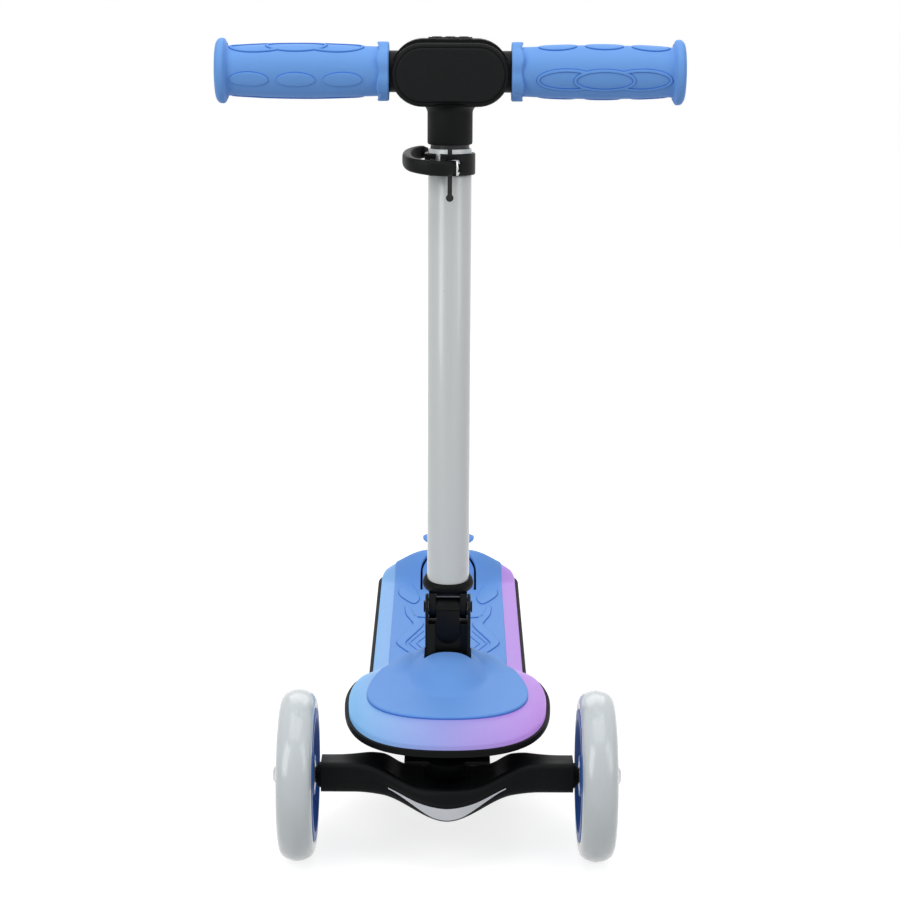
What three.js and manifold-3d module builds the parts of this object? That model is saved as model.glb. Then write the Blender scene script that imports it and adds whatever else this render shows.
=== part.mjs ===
// Lean-to-steer kids scooter with two front wheels, one rear wheel and a folding, height-adjustable T-bar.
// Millimetres, +Z up, the rider faces -Y. The origin is on the ground under the middle of the scooter.
import * as THREE from "three";
import { mergeVertices } from "three/addons/utils/BufferGeometryUtils.js";
import Module from "manifold-3d";

const wasm = await Module();
wasm.setup();

// Driving dimensions
const wheelbase = 428;
const frontTrack = 211;
const frontWheelDiameter = 120;
const frontTyreWidth = 26;
const rearWheelDiameter = 80;
const rearTyreWidth = 24;
const deckWidth = 124;
const noseWidth = 149.6;
const deckRimRise = 22; // the deck's lip above the rear axle
const noseRimRise = 29; // the nose's lip above the front axle
const handlebarWidth = 331;
const gripAxisHeight = 391.5; // above the fold pin, along the column
const columnDiameter = 31;
const columnWall = 1.3;
const columnLeanDegrees = 3;
const kingpinTiltDegrees = 40;

// Fits and cutting allowances
const seatGap = 0.3; // between pieces that touch
const runGap = 0.6; // round pieces that turn
const overrun = 2; // how far a cutting shape passes the faces that it cuts
const weldGap = 0.001; // corners closer than this are one

const frontWheelRadius = frontWheelDiameter / 2;
const rearWheelRadius = rearWheelDiameter / 2;
const overallLength = frontWheelRadius + wheelbase + rearWheelRadius;
const axleHeight = frontWheelRadius;
const rearAxleHeight = rearWheelRadius;
const deckRimHeight = rearAxleHeight + deckRimRise;
const noseRimHeight = axleHeight + noseRimRise;
const deckHalfWidth = deckWidth / 2;
const noseHalfWidth = noseWidth / 2;
const quarterTurn = Math.PI / 2;

// Solids, cuts and skins.

function solidFrom(geometry) {
  const bare = geometry.clone();
  bare.deleteAttribute("normal");
  bare.deleteAttribute("uv");
  const merged = mergeVertices(bare, weldGap);
  const corners = merged.index.array;
  const triVerts = [];
  for (let i = 0; i < corners.length; i += 3) {
    const [a, b, c] = corners.slice(i, i + 3);
    if (a !== b && b !== c && c !== a) triVerts.push(a, b, c);
  }
  const make = (order) =>
    new wasm.Manifold(
      new wasm.Mesh({
        numProp: 3,
        vertProperties: new Float32Array(merged.attributes.position.array),
        triVerts: new Uint32Array(order),
      }),
    );
  const solid = make(triVerts);
  return solid.volume() < 0 ? make(triVerts.reverse()) : solid;
}

function geometryFrom(solid) {
  const mesh = solid.getMesh();
  const geometry = new THREE.BufferGeometry();
  geometry.setAttribute("position", new THREE.BufferAttribute(mesh.vertProperties, 3));
  geometry.setIndex(new THREE.BufferAttribute(mesh.triVerts, 1));
  return geometry;
}

const join = (first, ...rest) =>
  geometryFrom(rest.reduce((sum, piece) => sum.add(solidFrom(piece)), solidFrom(first)));
const cut = (first, ...rest) =>
  geometryFrom(rest.reduce((left, tool) => left.subtract(solidFrom(tool)), solidFrom(first)));
const common = (first, second) => geometryFrom(solidFrom(first).intersect(solidFrom(second)));

const box = (x, y, z, atX, atY, atZ) => new THREE.BoxGeometry(x, y, z).translate(atX, atY, atZ);

// A box given by its limits along each axis.
const block = (x0, x1, y0, y1, z0, z1) =>
  box(x1 - x0, y1 - y0, z1 - z0, (x0 + x1) / 2, (y0 + y1) / 2, (z0 + z1) / 2);

const rodX = (radius, x0, x1, sides) =>
  new THREE.CylinderGeometry(radius, radius, x1 - x0, sides)
    .rotateZ(quarterTurn)
    .translate((x0 + x1) / 2, 0, 0);
const rodZ = (radius, z0, z1, sides) =>
  new THREE.CylinderGeometry(radius, radius, z1 - z0, sides)
    .rotateX(quarterTurn)
    .translate(0, 0, (z0 + z1) / 2);

// Revolves a closed profile of [radius, height] pairs about Z.
const turned = (profile, sides) =>
  new THREE.LatheGeometry(
    [...profile, profile[0]].map(([r, h]) => new THREE.Vector2(r, h)),
    sides,
  ).rotateX(quarterTurn);

// Revolves a closed profile of [radius, offset] pairs about X.
const turnedX = (profile, sides) => turned(profile, sides).rotateY(quarterTurn);

// Extrudes a shape drawn in the XY plane along +Z, then stands it up so that its thickness runs along Y.
const standing = (shape, depth, options) =>
  new THREE.ExtrudeGeometry(shape, { depth, bevelEnabled: false, ...options }).rotateX(quarterTurn);

// Extrudes a side view, drawn as [y, z] pairs, across X.
function acrossX(outline, x0, x1) {
  const shape = new THREE.Shape(outline.map(([y, z]) => new THREE.Vector2(y, z)));
  return new THREE.ExtrudeGeometry(shape, { depth: x1 - x0, bevelEnabled: false })
    .rotateZ(quarterTurn)
    .rotateY(quarterTurn)
    .translate(x0, 0, 0);
}

function stadium(width, height) {
  const radius = height / 2;
  const straight = width / 2 - radius;
  const shape = new THREE.Shape();
  shape.absarc(straight, 0, radius, -quarterTurn, quarterTurn, false);
  shape.absarc(-straight, 0, radius, quarterTurn, 3 * quarterTurn, false);
  return shape;
}

// Skins a stack of rings with equal point counts. An open stack is closed by its first and last ring,
// each of which has folded onto a line or a point; a looped stack joins its last ring to its first.
function skin(rings, looped) {
  const count = rings[0].length;
  const points = rings.flat();
  const index = [];
  const last = looped ? rings.length : rings.length - 1;
  for (let k = 0; k < last; k += 1) {
    const lower = k * count;
    const upper = ((k + 1) % rings.length) * count;
    for (let i = 0; i < count; i += 1) {
      const j = (i + 1) % count;
      index.push(lower + i, lower + j, upper + j);
      index.push(lower + i, upper + j, upper + i);
    }
  }
  const geometry = new THREE.BufferGeometry().setFromPoints(points);
  geometry.setIndex(index);
  return geometryFrom(solidFrom(geometry));
}

// Closes a loft: each end ring is folded onto its own centre.
function loft(rings) {
  const folded = (ring) => {
    const centre = ring.reduce((sum, p) => sum.add(p), new THREE.Vector3()).divideScalar(ring.length);
    return ring.map(() => centre.clone());
  };
  return skin([folded(rings[0]), ...rings, folded(rings.at(-1))], false);
}

const mix = THREE.MathUtils.lerp;
const smooth = THREE.MathUtils.smoothstep;

const material = (color, roughness, metalness) =>
  new THREE.MeshStandardMaterial({ color, roughness, metalness });
const blueRubber = material(0x78a9ea, 0.62, 0);
const bluePad = material(0x6f9be0, 0.55, 0);
const blueHub = material(0x2f6fc8, 0.45, 0);
const blackPlastic = material(0x171919, 0.55, 0);
const blackMetal = material(0x0f1114, 0.42, 0.3);
const whitePaint = material(0xd9dedd, 0.28, 0);
const tyreWhite = material(0xd0d8db, 0.3, 0);
const lightPlastic = material(0xa5b4f0, 0.35, 0);
const steel = material(0xb9bcbf, 0.3, 1);
const darkSteel = material(0x55585c, 0.35, 1);
const rubber = material(0x1b1b1c, 0.8, 0);
const boardGreen = material(0x1d5b3a, 0.6, 0);

const scooter = new THREE.Group();

// Everything below is placed behind the front axle, whose ground point is this group's origin.
const chassis = new THREE.Group();
chassis.position.y = frontWheelRadius - overallLength / 2;
scooter.add(chassis);

function piece(name, geometry, look, parent) {
  const closed = geometryFrom(solidFrom(geometry));
  closed.computeVertexNormals();
  const mesh = new THREE.Mesh(closed, look.clone());
  mesh.name = name;
  parent.add(mesh);
  return mesh;
}

// Deck plan and levels.

const noseTip = -27; // behind the front axle, so ahead of it
const noseWidestAt = 68;
const waistAt = 150;
const tailOverhang = 24; // past the rear axle
const rearCornerLead = 18; // the deck's rear corners begin this far ahead of the rear axle
const rearCornerAt = wheelbase - rearCornerLead;
const tailAt = wheelbase + tailOverhang;
const brakeHingeWheelGap = 8;
const brakeHingeAt = wheelbase - rearWheelRadius - brakeHingeWheelGap;
const humpBehindHinge = 4;
const humpFootAt = brakeHingeAt + humpBehindHinge;
const tailHalfWidth = 30;

const padTip = 9;
const padWidestAt = 60;
const padHalfWidth = 58.6;
const padNeckAt = 146;
const padNeckHalfWidth = 37;
const seamAt = 172;
const seamHalfWidth = 39;
const deckPadWideAt = 214;
const deckPadHalfWidth = 47;
const padTailInset = 9;

// Each half outline is a run of curves, so many points long, from the tip to the tail on the +X side.
const runCounts = [5, 4, 1, 2, 1, 4, 3, 1];

function halfOutline(curves) {
  const points = [];
  curves.forEach((curve, i) => points.push(...curve.getPoints(runCounts[i]).slice(i ? 1 : 0)));
  return points;
}

function closedOutline(half) {
  const mirrored = half.slice(1, -1).reverse().map((p) => new THREE.Vector2(-p.x, p.y));
  return [...half, ...mirrored];
}

const v2 = (x, y) => new THREE.Vector2(x, y);
const curveFrom = (a, b, c, d) => new THREE.CubicBezierCurve(v2(...a), v2(...b), v2(...c), v2(...d));
const lineFrom = (a, b) => new THREE.LineCurve(v2(...a), v2(...b));

const noseFullnessShare = 0.64;
const noseShoulderShare = 0.24;
const rimHalf = halfOutline([
  curveFrom(
    [0, noseTip],
    [noseHalfWidth * noseFullnessShare, noseTip],
    [noseHalfWidth, mix(noseTip, noseWidestAt, noseShoulderShare)],
    [noseHalfWidth, noseWidestAt],
  ),
  curveFrom(
    [noseHalfWidth, noseWidestAt],
    [noseHalfWidth, mix(noseWidestAt, waistAt, 0.45)],
    [deckHalfWidth, mix(noseWidestAt, waistAt, 0.54)],
    [deckHalfWidth, waistAt],
  ),
  lineFrom([deckHalfWidth, waistAt], [deckHalfWidth, seamAt]),
  lineFrom([deckHalfWidth, seamAt], [deckHalfWidth, deckPadWideAt]),
  lineFrom([deckHalfWidth, deckPadWideAt], [deckHalfWidth, humpFootAt]),
  lineFrom([deckHalfWidth, humpFootAt], [deckHalfWidth, rearCornerAt]),
  curveFrom(
    [deckHalfWidth, rearCornerAt],
    [deckHalfWidth, mix(rearCornerAt, tailAt, 0.6)],
    [mix(tailHalfWidth, deckHalfWidth, 0.5), tailAt],
    [tailHalfWidth, tailAt],
  ),
  lineFrom([tailHalfWidth, tailAt], [0, tailAt]),
]);
const rimOutline = closedOutline(rimHalf);

const padTailAt = tailAt - padTailInset;
const padTailHalfWidth = tailHalfWidth - padTailInset / 2;
const padHalf = halfOutline([
  curveFrom(
    [0, padTip],
    [padHalfWidth * 0.6, padTip],
    [padHalfWidth, mix(padTip, padWidestAt, 0.3)],
    [padHalfWidth, padWidestAt],
  ),
  curveFrom(
    [padHalfWidth, padWidestAt],
    [padHalfWidth, mix(padWidestAt, padNeckAt, 0.35)],
    [mix(padNeckHalfWidth, padHalfWidth, 0.33), mix(padWidestAt, padNeckAt, 0.7)],
    [padNeckHalfWidth, padNeckAt],
  ),
  lineFrom([padNeckHalfWidth, padNeckAt], [seamHalfWidth, seamAt]),
  curveFrom(
    [seamHalfWidth, seamAt],
    [seamHalfWidth, mix(seamAt, deckPadWideAt, 0.4)],
    [deckPadHalfWidth, mix(seamAt, deckPadWideAt, 0.6)],
    [deckPadHalfWidth, deckPadWideAt],
  ),
  lineFrom([deckPadHalfWidth, deckPadWideAt], [deckPadHalfWidth, humpFootAt]),
  lineFrom([deckPadHalfWidth, humpFootAt], [deckPadHalfWidth, rearCornerAt]),
  curveFrom(
    [deckPadHalfWidth, rearCornerAt],
    [deckPadHalfWidth, mix(rearCornerAt, padTailAt, 0.6)],
    [mix(padTailHalfWidth, deckPadHalfWidth, 0.5), padTailAt],
    [padTailHalfWidth, padTailAt],
  ),
  lineFrom([padTailHalfWidth, padTailAt], [0, padTailAt]),
]);
const padOutline = closedOutline(padHalf);

// Moves a symmetric outline inwards by a distance, each point along the normal between its neighbours.
function inset(outline, distance) {
  return outline.map((p, i) => {
    const before = outline[(i - 1 + outline.length) % outline.length];
    const after = outline[(i + 1) % outline.length];
    const along = after.clone().sub(before).normalize();
    const moved = v2(p.x - along.y * distance, p.y + along.x * distance);
    if (p.x === 0) moved.x = 0;
    return moved;
  });
}

const between = (outer, inner, share) => outer.map((p, i) => p.clone().lerp(inner[i], share));

// The lip, the light band and the pads fall together from the nose to the deck.
const slopeStartAt = 100;
const slopeEndAt = 205;
const fall = (y) => smooth(y, slopeStartAt, slopeEndAt);
const rimLevel = (y) => mix(noseRimHeight, deckRimHeight, fall(y));
const noseCrown = 8.5;
const deckCrown = 4;
const crownLevel = (y) => rimLevel(y) + mix(noseCrown, deckCrown, fall(y));

// The hump over the rear wheel.
const humpHeight = 29;
const humpFootDrift = 22; // how far the foot falls back towards the sides
const humpRun = 26;
const humpFallLead = 14;
const humpFallAt = wheelbase - humpFallLead;
const humpTailHeight = 12;
const humpFlatHalfWidth = 25;
const humpEdgeHalfWidth = 66;
const humpEdgeShare = 0.12;
function hump(x, y) {
  const across = Math.abs(x);
  const drift = humpFootDrift * (across / deckPadHalfWidth) ** 2;
  const rise = smooth(y, humpFootAt + drift, humpFootAt + drift + humpRun);
  const drop = 1 - (1 - humpTailHeight / humpHeight) * smooth(y, humpFallAt, tailAt);
  const sides = 1 - (1 - humpEdgeShare) * smooth(across, humpFlatHalfWidth, humpEdgeHalfWidth);
  return humpHeight * rise * drop * sides;
}

const bandLevel = (x, y) => crownLevel(y) + hump(x, y);

const raise = (outline, level) => outline.map((p) => new THREE.Vector3(p.x, p.y, level(p.x, p.y)));

// Folds an outline onto the centre line between two limits.
const onSpine = (outline, from, to) =>
  outline.map((p) => v2(0, THREE.MathUtils.clamp(p.y, from, to)));

// Deck tray.

const lipWidth = 2.6;
const lipDepth = 5;
const ledgeDepth = 2.3;
const trayTuck = 3;
const trayTaper = 11;
const deckTrayDepth = 22;
const noseFloorRise = 14; // the nose's underside above the front axle
const noseTrayDepth = noseRimRise - noseFloorRise;
const spineInset = 45;
const platformInset = 5.5;

const trayFloor = (y) => rimLevel(y) - mix(noseTrayDepth, deckTrayDepth, fall(y));
const platform = inset(padOutline, platformInset);
const traySpine = (outline) => onSpine(outline, noseTip + spineInset, tailAt - spineInset);
let tray = skin(
  [
    raise(traySpine(rimOutline), (x, y) => trayFloor(y)),
    raise(inset(rimOutline, trayTaper), (x, y) => trayFloor(y)),
    raise(inset(rimOutline, trayTuck), (x, y) => rimLevel(y) - lipDepth),
    raise(rimOutline, (x, y) => rimLevel(y) - lipDepth + lipWidth / 2),
    raise(rimOutline, (x, y) => rimLevel(y)),
    raise(inset(rimOutline, lipWidth), (x, y) => rimLevel(y)),
    raise(inset(rimOutline, lipWidth), (x, y) => rimLevel(y) - ledgeDepth),
    raise(platform, (x, y) => rimLevel(y) - ledgeDepth),
    raise(platform, (x, y) => crownLevel(y)),
    raise(traySpine(rimOutline), (x, y) => crownLevel(y)),
  ],
  false,
);

// The rear wheel's well, and pockets that leave ribs on the underside.
const wellSideGap = 4;
const wellEndGap = 6;
const wellHalfWidth = rearTyreWidth / 2 + wellSideGap;
const wellFrontAt = wheelbase - rearWheelRadius - wellEndGap;
const trayTop = noseRimHeight + noseCrown;
const well = block(
  -wellHalfWidth,
  wellHalfWidth,
  wellFrontAt,
  tailAt + overrun,
  0,
  trayTop,
);

const ribThickness = 3;
const trayRoof = 4;
const pedalBayLead = 6; // the bay opens this far ahead of the brake's hinge
const pedalBayFrontAt = brakeHingeAt - pedalBayLead;
const pocketRearWall = 22;
const pocketRearAt = pedalBayFrontAt - pocketRearWall;
const pocketRows = 3;
const pocketOuterHalfWidth = 46;
const batteryBayHalfWidth = 26;
const batteryBayLength = 68;
const batteryRearWall = 22;
const batteryBayRearAt = pocketRearAt - batteryRearWall;
const batteryBayFrontAt = batteryBayRearAt - batteryBayLength;
const frontPocketLength = 66;
const pocketFrontAt = batteryBayFrontAt - frontPocketLength;
const doorThickness = 2;
const doorMargin = 4;
const deckFloor = deckRimHeight - deckTrayDepth;
const pocketTop = deckRimHeight - ledgeDepth - trayRoof;
const pockets = [];
const pocketPitch = (pocketRearAt - pocketFrontAt) / pocketRows;
for (let row = 0; row < pocketRows; row += 1) {
  const from = pocketFrontAt + row * pocketPitch;
  for (const side of [-1, 1]) {
    const inner = side * (batteryBayHalfWidth + doorMargin + ribThickness);
    const outer = side * pocketOuterHalfWidth;
    pockets.push(
      block(
        Math.min(inner, outer),
        Math.max(inner, outer),
        from,
        from + pocketPitch - ribThickness,
        0,
        pocketTop,
      ),
    );
  }
}
const frontPocket = block(
  -batteryBayHalfWidth,
  batteryBayHalfWidth,
  pocketFrontAt,
  batteryBayFrontAt - ribThickness - doorMargin,
  0,
  pocketTop,
);
const batteryBay = block(
  -batteryBayHalfWidth,
  batteryBayHalfWidth,
  batteryBayFrontAt,
  batteryBayRearAt,
  0,
  pocketTop,
);
const doorSeat = block(
  -batteryBayHalfWidth - doorMargin,
  batteryBayHalfWidth + doorMargin,
  batteryBayFrontAt - doorMargin,
  batteryBayRearAt + doorMargin,
  0,
  deckFloor + doorThickness,
);
const rearAxleRadius = 3.7;
const rearAxleHalfLength = 24;
const axlePadRadius = 11;
const axlePads = rodX(axlePadRadius, -rearAxleHalfLength, rearAxleHalfLength, 20).translate(
  0,
  wheelbase,
  rearAxleHeight,
);
const rearAxleHeadRadius = 6;
const rearAxleHeadWidth = 3;
const atRearAxle = (geometry) => geometry.translate(0, wheelbase, rearAxleHeight);
const axleBore = atRearAxle(rodX(rearAxleRadius + seatGap, -deckHalfWidth, deckHalfWidth, 16));
// A half-round channel on each side lets the axle's heads in from below.
const headChannels = [-1, 1].map((side) =>
  atRearAxle(
    rodX(
      rearAxleHeadRadius + runGap,
      side > 0 ? rearAxleHalfLength : -deckHalfWidth,
      side > 0 ? deckHalfWidth : -rearAxleHalfLength,
      20,
    ),
  ),
);

// The brake pedal's hinge passes through two cheeks in front of the wheel well.
const brakeHingeDrop = 5;
const brakeHingeHeight = deckRimHeight - brakeHingeDrop;
const brakePinRadius = 2;
const brakePinHalfLength = 28;
const pedalBayHalfWidth = 22.5;
const pedalBayLength = 26;
const pedalBayRearAt = pedalBayFrontAt + pedalBayLength;
const pedalBay = block(
  -pedalBayHalfWidth,
  pedalBayHalfWidth,
  pedalBayFrontAt,
  pedalBayRearAt,
  deckFloor + trayRoof,
  trayTop,
);
const brakePinBore = rodX(
  brakePinRadius + seatGap,
  -brakePinHalfLength,
  brakePinHalfLength,
  12,
).translate(0, brakeHingeAt, brakeHingeHeight);

// The pedal's slot is widest at its straight front and draws in as the pedal does; it is open at the tail.
const pedalFrontHalfWidth = 22.2;
const pedalWaistHalfWidth = 18.6;
const pedalSideGap = 2.2;
const slotFrontLag = 3; // behind the hump's foot
const slotStraightLength = 14;
const slotDrawLength = 10;
const slotFrontAt = humpFootAt + slotFrontLag;
const slotShoulderAt = slotFrontAt + slotStraightLength;
const slotNarrowAt = slotShoulderAt + slotDrawLength;
const slotFrontHalfWidth = pedalFrontHalfWidth + pedalSideGap;
const slotRearHalfWidth = pedalWaistHalfWidth + pedalSideGap;
const slotSide = [
  [slotFrontHalfWidth, slotFrontAt],
  [slotFrontHalfWidth, slotShoulderAt],
  [mix(slotRearHalfWidth, slotFrontHalfWidth, 0.55), mix(slotShoulderAt, slotNarrowAt, 0.7)],
  [slotRearHalfWidth, slotNarrowAt],
  [slotRearHalfWidth, tailAt + overrun],
];
const slotShape = new THREE.Shape([
  ...slotSide.map(([x, y]) => new THREE.Vector2(x, y)),
  ...slotSide.toReversed().map(([x, y]) => new THREE.Vector2(-x, y)),
]);
const pedalSlot = new THREE.ExtrudeGeometry(slotShape, { depth: trayTop, bevelEnabled: false })
  .translate(0, 0, deckFloor + 2 * trayRoof);

tray = cut(
  join(tray, axlePads),
  well,
  ...pockets,
  frontPocket,
  batteryBay,
  doorSeat,
  axleBore,
  ...headChannels,
  pedalBay,
  pedalSlot,
  brakePinBore,
);

piece(
  "battery_door",
  block(
    -batteryBayHalfWidth - doorMargin + seatGap,
    batteryBayHalfWidth + doorMargin - seatGap,
    batteryBayFrontAt - doorMargin + seatGap,
    batteryBayRearAt + doorMargin - seatGap,
    deckFloor,
    deckFloor + doorThickness - seatGap,
  ),
  blackPlastic,
  chassis,
);
piece(
  "light_battery",
  block(
    -batteryBayHalfWidth + runGap,
    batteryBayHalfWidth - runGap,
    batteryBayFrontAt + runGap,
    batteryBayRearAt - runGap,
    deckFloor + doorThickness,
    pocketTop - runGap,
  ),
  rubber,
  chassis,
);

// Light band and the strip of lamps under it.

const bandGap = lipWidth + seatGap;
const bandWall = 2.5;
const bandOuter = inset(rimOutline, bandGap);
const bandShoulder = inset(rimOutline, bandGap + bandWall / 2);
const bandInner = inset(padOutline, bandWall);
const bandFoot = ledgeDepth - seatGap;
const shoulderShare = 0.42;
const bandRise = (share) => (x, y) => mix(rimLevel(y) + hump(x, y), bandLevel(x, y), share);
const bandRing = skin(
  [
    raise(bandOuter, (x, y) => rimLevel(y) - bandFoot),
    raise(bandOuter, bandRise(0.16)),
    raise(bandShoulder, bandRise(shoulderShare)),
    raise(between(bandShoulder, bandInner, 0.4), bandRise(0.76)),
    raise(padOutline, bandLevel),
    raise(bandInner, bandLevel),
    raise(bandInner, (x, y) => bandLevel(x, y) - bandWall),
    raise(between(bandShoulder, bandInner, 0.45), (x, y) => bandRise(0.7)(x, y) - bandWall),
    raise(inset(rimOutline, bandGap + bandWall), (x, y) => rimLevel(y) - bandFoot),
  ],
  true,
);
piece("light_band", cut(bandRing, pedalSlot), lightPlastic, chassis);

const stripHeight = 1.2;
const stripSeatGap = 0.8; // foam tape under the strip fills this
const stripOuterShare = 0.49;
const stripInnerShare = 0.65;
const onLedge = (outline) => raise(outline, (x, y) => rimLevel(y) - ledgeDepth);
const ledgeOuter = onLedge(inset(rimOutline, lipWidth));
const ledgeInner = onLedge(platform);
const stripEdge = (share, height) =>
  between(ledgeOuter, ledgeInner, share).map((p) => p.setZ(p.z + height));
const stripRing = skin(
  [
    stripEdge(stripOuterShare, stripSeatGap),
    stripEdge(stripOuterShare, stripSeatGap + stripHeight),
    stripEdge(stripInnerShare, stripSeatGap + stripHeight),
    stripEdge(stripInnerShare, stripSeatGap),
  ],
  true,
);
piece("light_strip", cut(stripRing, pedalSlot), boardGreen, chassis);

// Where the fold bracket stands; the nose pad opens round it.

const foldPinAt = 111;
const foldPinRise = 49.2; // above the bracket's foot
const bracketHalfWidth = 16.7;
const bracketWall = 2.3;
const bracketLead = 14; // ahead of the fold pin
const bracketLag = 28; // behind it
const bracketFrontAt = foldPinAt - bracketLead;
const bracketRearAt = foldPinAt + bracketLag;
const bracketOpeningGap = 0.8;
const noseDeckTop = noseRimHeight + noseCrown;
const bracketFoot = noseDeckTop + seatGap;
const foldPinHeight = bracketFoot + foldPinRise;

// Nose pad and deck pad.

const nosePadLip = 2.6;
const deckPadLip = 1;
const padThickness = 3;
const padLip = (y) => mix(nosePadLip, deckPadLip, fall(y));
const padRound = 1.2;
const humpSeatRise = 1;
const humpSeatGap = 0.9; // added where the hump curves
const padSeatGap = 0.5;
const padRebateGap = 0.6; // the pad's underside clears the band's inner edge by this

const domeHeight = 19;
const domeLead = 7; // the dome's top is this far ahead of the fold pin
const domeAt = foldPinAt - domeLead;
const domeFrontReach = 60;
const domeRearReach = 38;
const domeHalfWidth = 31;
const domeFlatShare = 0.3;
function dome(x, y) {
  const reach = y < domeAt ? domeFrontReach : domeRearReach;
  const far = Math.hypot(x / domeHalfWidth, (y - domeAt) / reach);
  return domeHeight * (1 - smooth(far, domeFlatShare, 1));
}

const padTop = (x, y) => bandLevel(x, y) + padLip(y) + dome(x, y);
// The underside lies on the band and the platform, and follows the hump at an even thickness.
const padUnder = (x, y) =>
  crownLevel(y) + padSeatGap + Math.max(0, hump(x, y) + dome(x, y) / 2 + padLip(y) - padThickness);
// The facets of the two pieces part a little where the hump curves, so the seat opens there.
const bandSeat = (x, y) => bandLevel(x, y) + seatGap + humpSeatGap * smooth(hump(x, y), 0, humpSeatRise);

// A pad is skinned from its underside's centre line, out over the lip, to its top's centre line.
const underShares = [0.3, 0.62];
const topShares = [0.2, 0.42, 0.64, 0.85];
function pad(outline, spineFrom, spineTo) {
  const spine = onSpine(outline, spineFrom, spineTo);
  const rounded = inset(outline, padRound);
  const rebate = inset(outline, bandWall + padRebateGap);
  return skin(
    [
      raise(spine, padUnder),
      ...underShares.map((share) => raise(between(spine, rebate, share), padUnder)),
      raise(inset(outline, bandWall + 2 * padRebateGap), padUnder),
      raise(rebate, bandSeat),
      raise(outline, bandSeat),
      raise(outline, (x, y) => padTop(x, y) - padRound),
      ...[...topShares, 1].reverse().map((share) => raise(between(spine, rounded, share), padTop)),
      raise(spine, padTop),
    ],
    false,
  );
}

const padSeamShare = 0.6;
const padSeamAt = mix(padNeckAt, seamAt, padSeamShare);
const noseLimit = block(-noseWidth, noseWidth, noseTip, padSeamAt - seatGap / 2, 0, trayTop * 2);
const deckLimit = block(-noseWidth, noseWidth, padSeamAt + seatGap / 2, tailAt, 0, trayTop * 2);
const bracketOpening = block(
  -bracketHalfWidth - bracketOpeningGap,
  bracketHalfWidth + bracketOpeningGap,
  bracketFrontAt - bracketOpeningGap,
  bracketRearAt + bracketOpeningGap,
  0,
  trayTop * 2,
);
const wholePad = pad(padOutline, padTip + spineInset, padTailAt - spineInset / 3);
piece("nose_pad", cut(common(wholePad, noseLimit), bracketOpening), bluePad, chassis);

piece("deck_pad", cut(common(wholePad, deckLimit), pedalSlot), bluePad, chassis);

piece("deck_tray", tray, blackPlastic, chassis);


// Fold bracket, pin and release.

const bracketBaseThickness = 4;
const bracketPinRound = 9.5; // metal round the pin
const bracketTopHeight = foldPinHeight + bracketPinRound;
const bracketHeelHeight = 14.2; // the cheeks' rear end above the foot
const bracketNeckDrop = 20; // below the pin
const webFrontInset = 2.5;
const webThickness = 7;
const webTopDrop = 10; // below the pin
const barrelHalfWidth = 8.7; // the release's barrel on the fold pin
const recessHalfWidth = barrelHalfWidth + runGap;
const recessDepth = 4.2;
const recessFloorRise = 13.2; // above the foot
const gussetHeight = 7;
const gussetDepth = 6;
const foldPinRadius = 3;
const wallRoundCount = 8;
const wallProfile = [
  [bracketFrontAt, bracketFoot],
  [bracketRearAt, bracketFoot],
  [bracketRearAt, bracketFoot + bracketHeelHeight],
  [foldPinAt + bracketPinRound, foldPinHeight - bracketNeckDrop],
];
for (let i = 0; i <= wallRoundCount; i += 1) {
  const turn = (i / wallRoundCount) * quarterTurn;
  wallProfile.push([
    foldPinAt + bracketPinRound * Math.cos(turn),
    foldPinHeight + bracketPinRound * Math.sin(turn),
  ]);
}
wallProfile.push([mix(bracketFrontAt, foldPinAt, 0.55), bracketTopHeight]);
wallProfile.push([bracketFrontAt, mix(foldPinHeight, bracketTopHeight, 0.35)]);
const bracketInner = bracketHalfWidth - bracketWall;
const atFoldPin = (geometry) => geometry.translate(0, foldPinAt, foldPinHeight);
const webFrontAt = bracketFrontAt + webFrontInset;
const webTop = foldPinHeight - webTopDrop;
const gusset = (x0, x1) =>
  acrossX(
    [
      [webFrontAt - gussetDepth / 2, bracketFoot],
      [webFrontAt + overrun, bracketFoot],
      [webFrontAt + overrun, bracketFoot + bracketBaseThickness + gussetHeight + gussetDepth],
      [webFrontAt, bracketFoot + bracketBaseThickness + gussetHeight + gussetDepth / 2],
      [webFrontAt - gussetDepth / 2, bracketFoot + bracketBaseThickness + gussetHeight],
    ],
    x0,
    x1,
  );
const bracket = cut(
  join(
    acrossX(wallProfile, -bracketHalfWidth, -bracketInner),
    acrossX(wallProfile, bracketInner, bracketHalfWidth),
    block(
      -bracketInner - bracketWall / 2,
      bracketInner + bracketWall / 2,
      bracketFrontAt,
      bracketRearAt,
      bracketFoot,
      bracketFoot + bracketBaseThickness,
    ),
    block(
      -bracketInner - bracketWall / 2,
      bracketInner + bracketWall / 2,
      webFrontAt,
      webFrontAt + webThickness,
      bracketFoot,
      webTop,
    ),
    gusset(-bracketInner - bracketWall / 2, -recessHalfWidth),
    gusset(recessHalfWidth, bracketInner + bracketWall / 2),
  ),
  block(
    -recessHalfWidth,
    recessHalfWidth,
    webFrontAt - gussetDepth,
    webFrontAt + recessDepth,
    bracketFoot + recessFloorRise,
    webTop + overrun,
  ),
  atFoldPin(rodX(foldPinRadius + seatGap, -bracketHalfWidth - overrun, bracketHalfWidth + overrun, 16)),
);
piece("fold_bracket", bracket, blackMetal, chassis);

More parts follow.
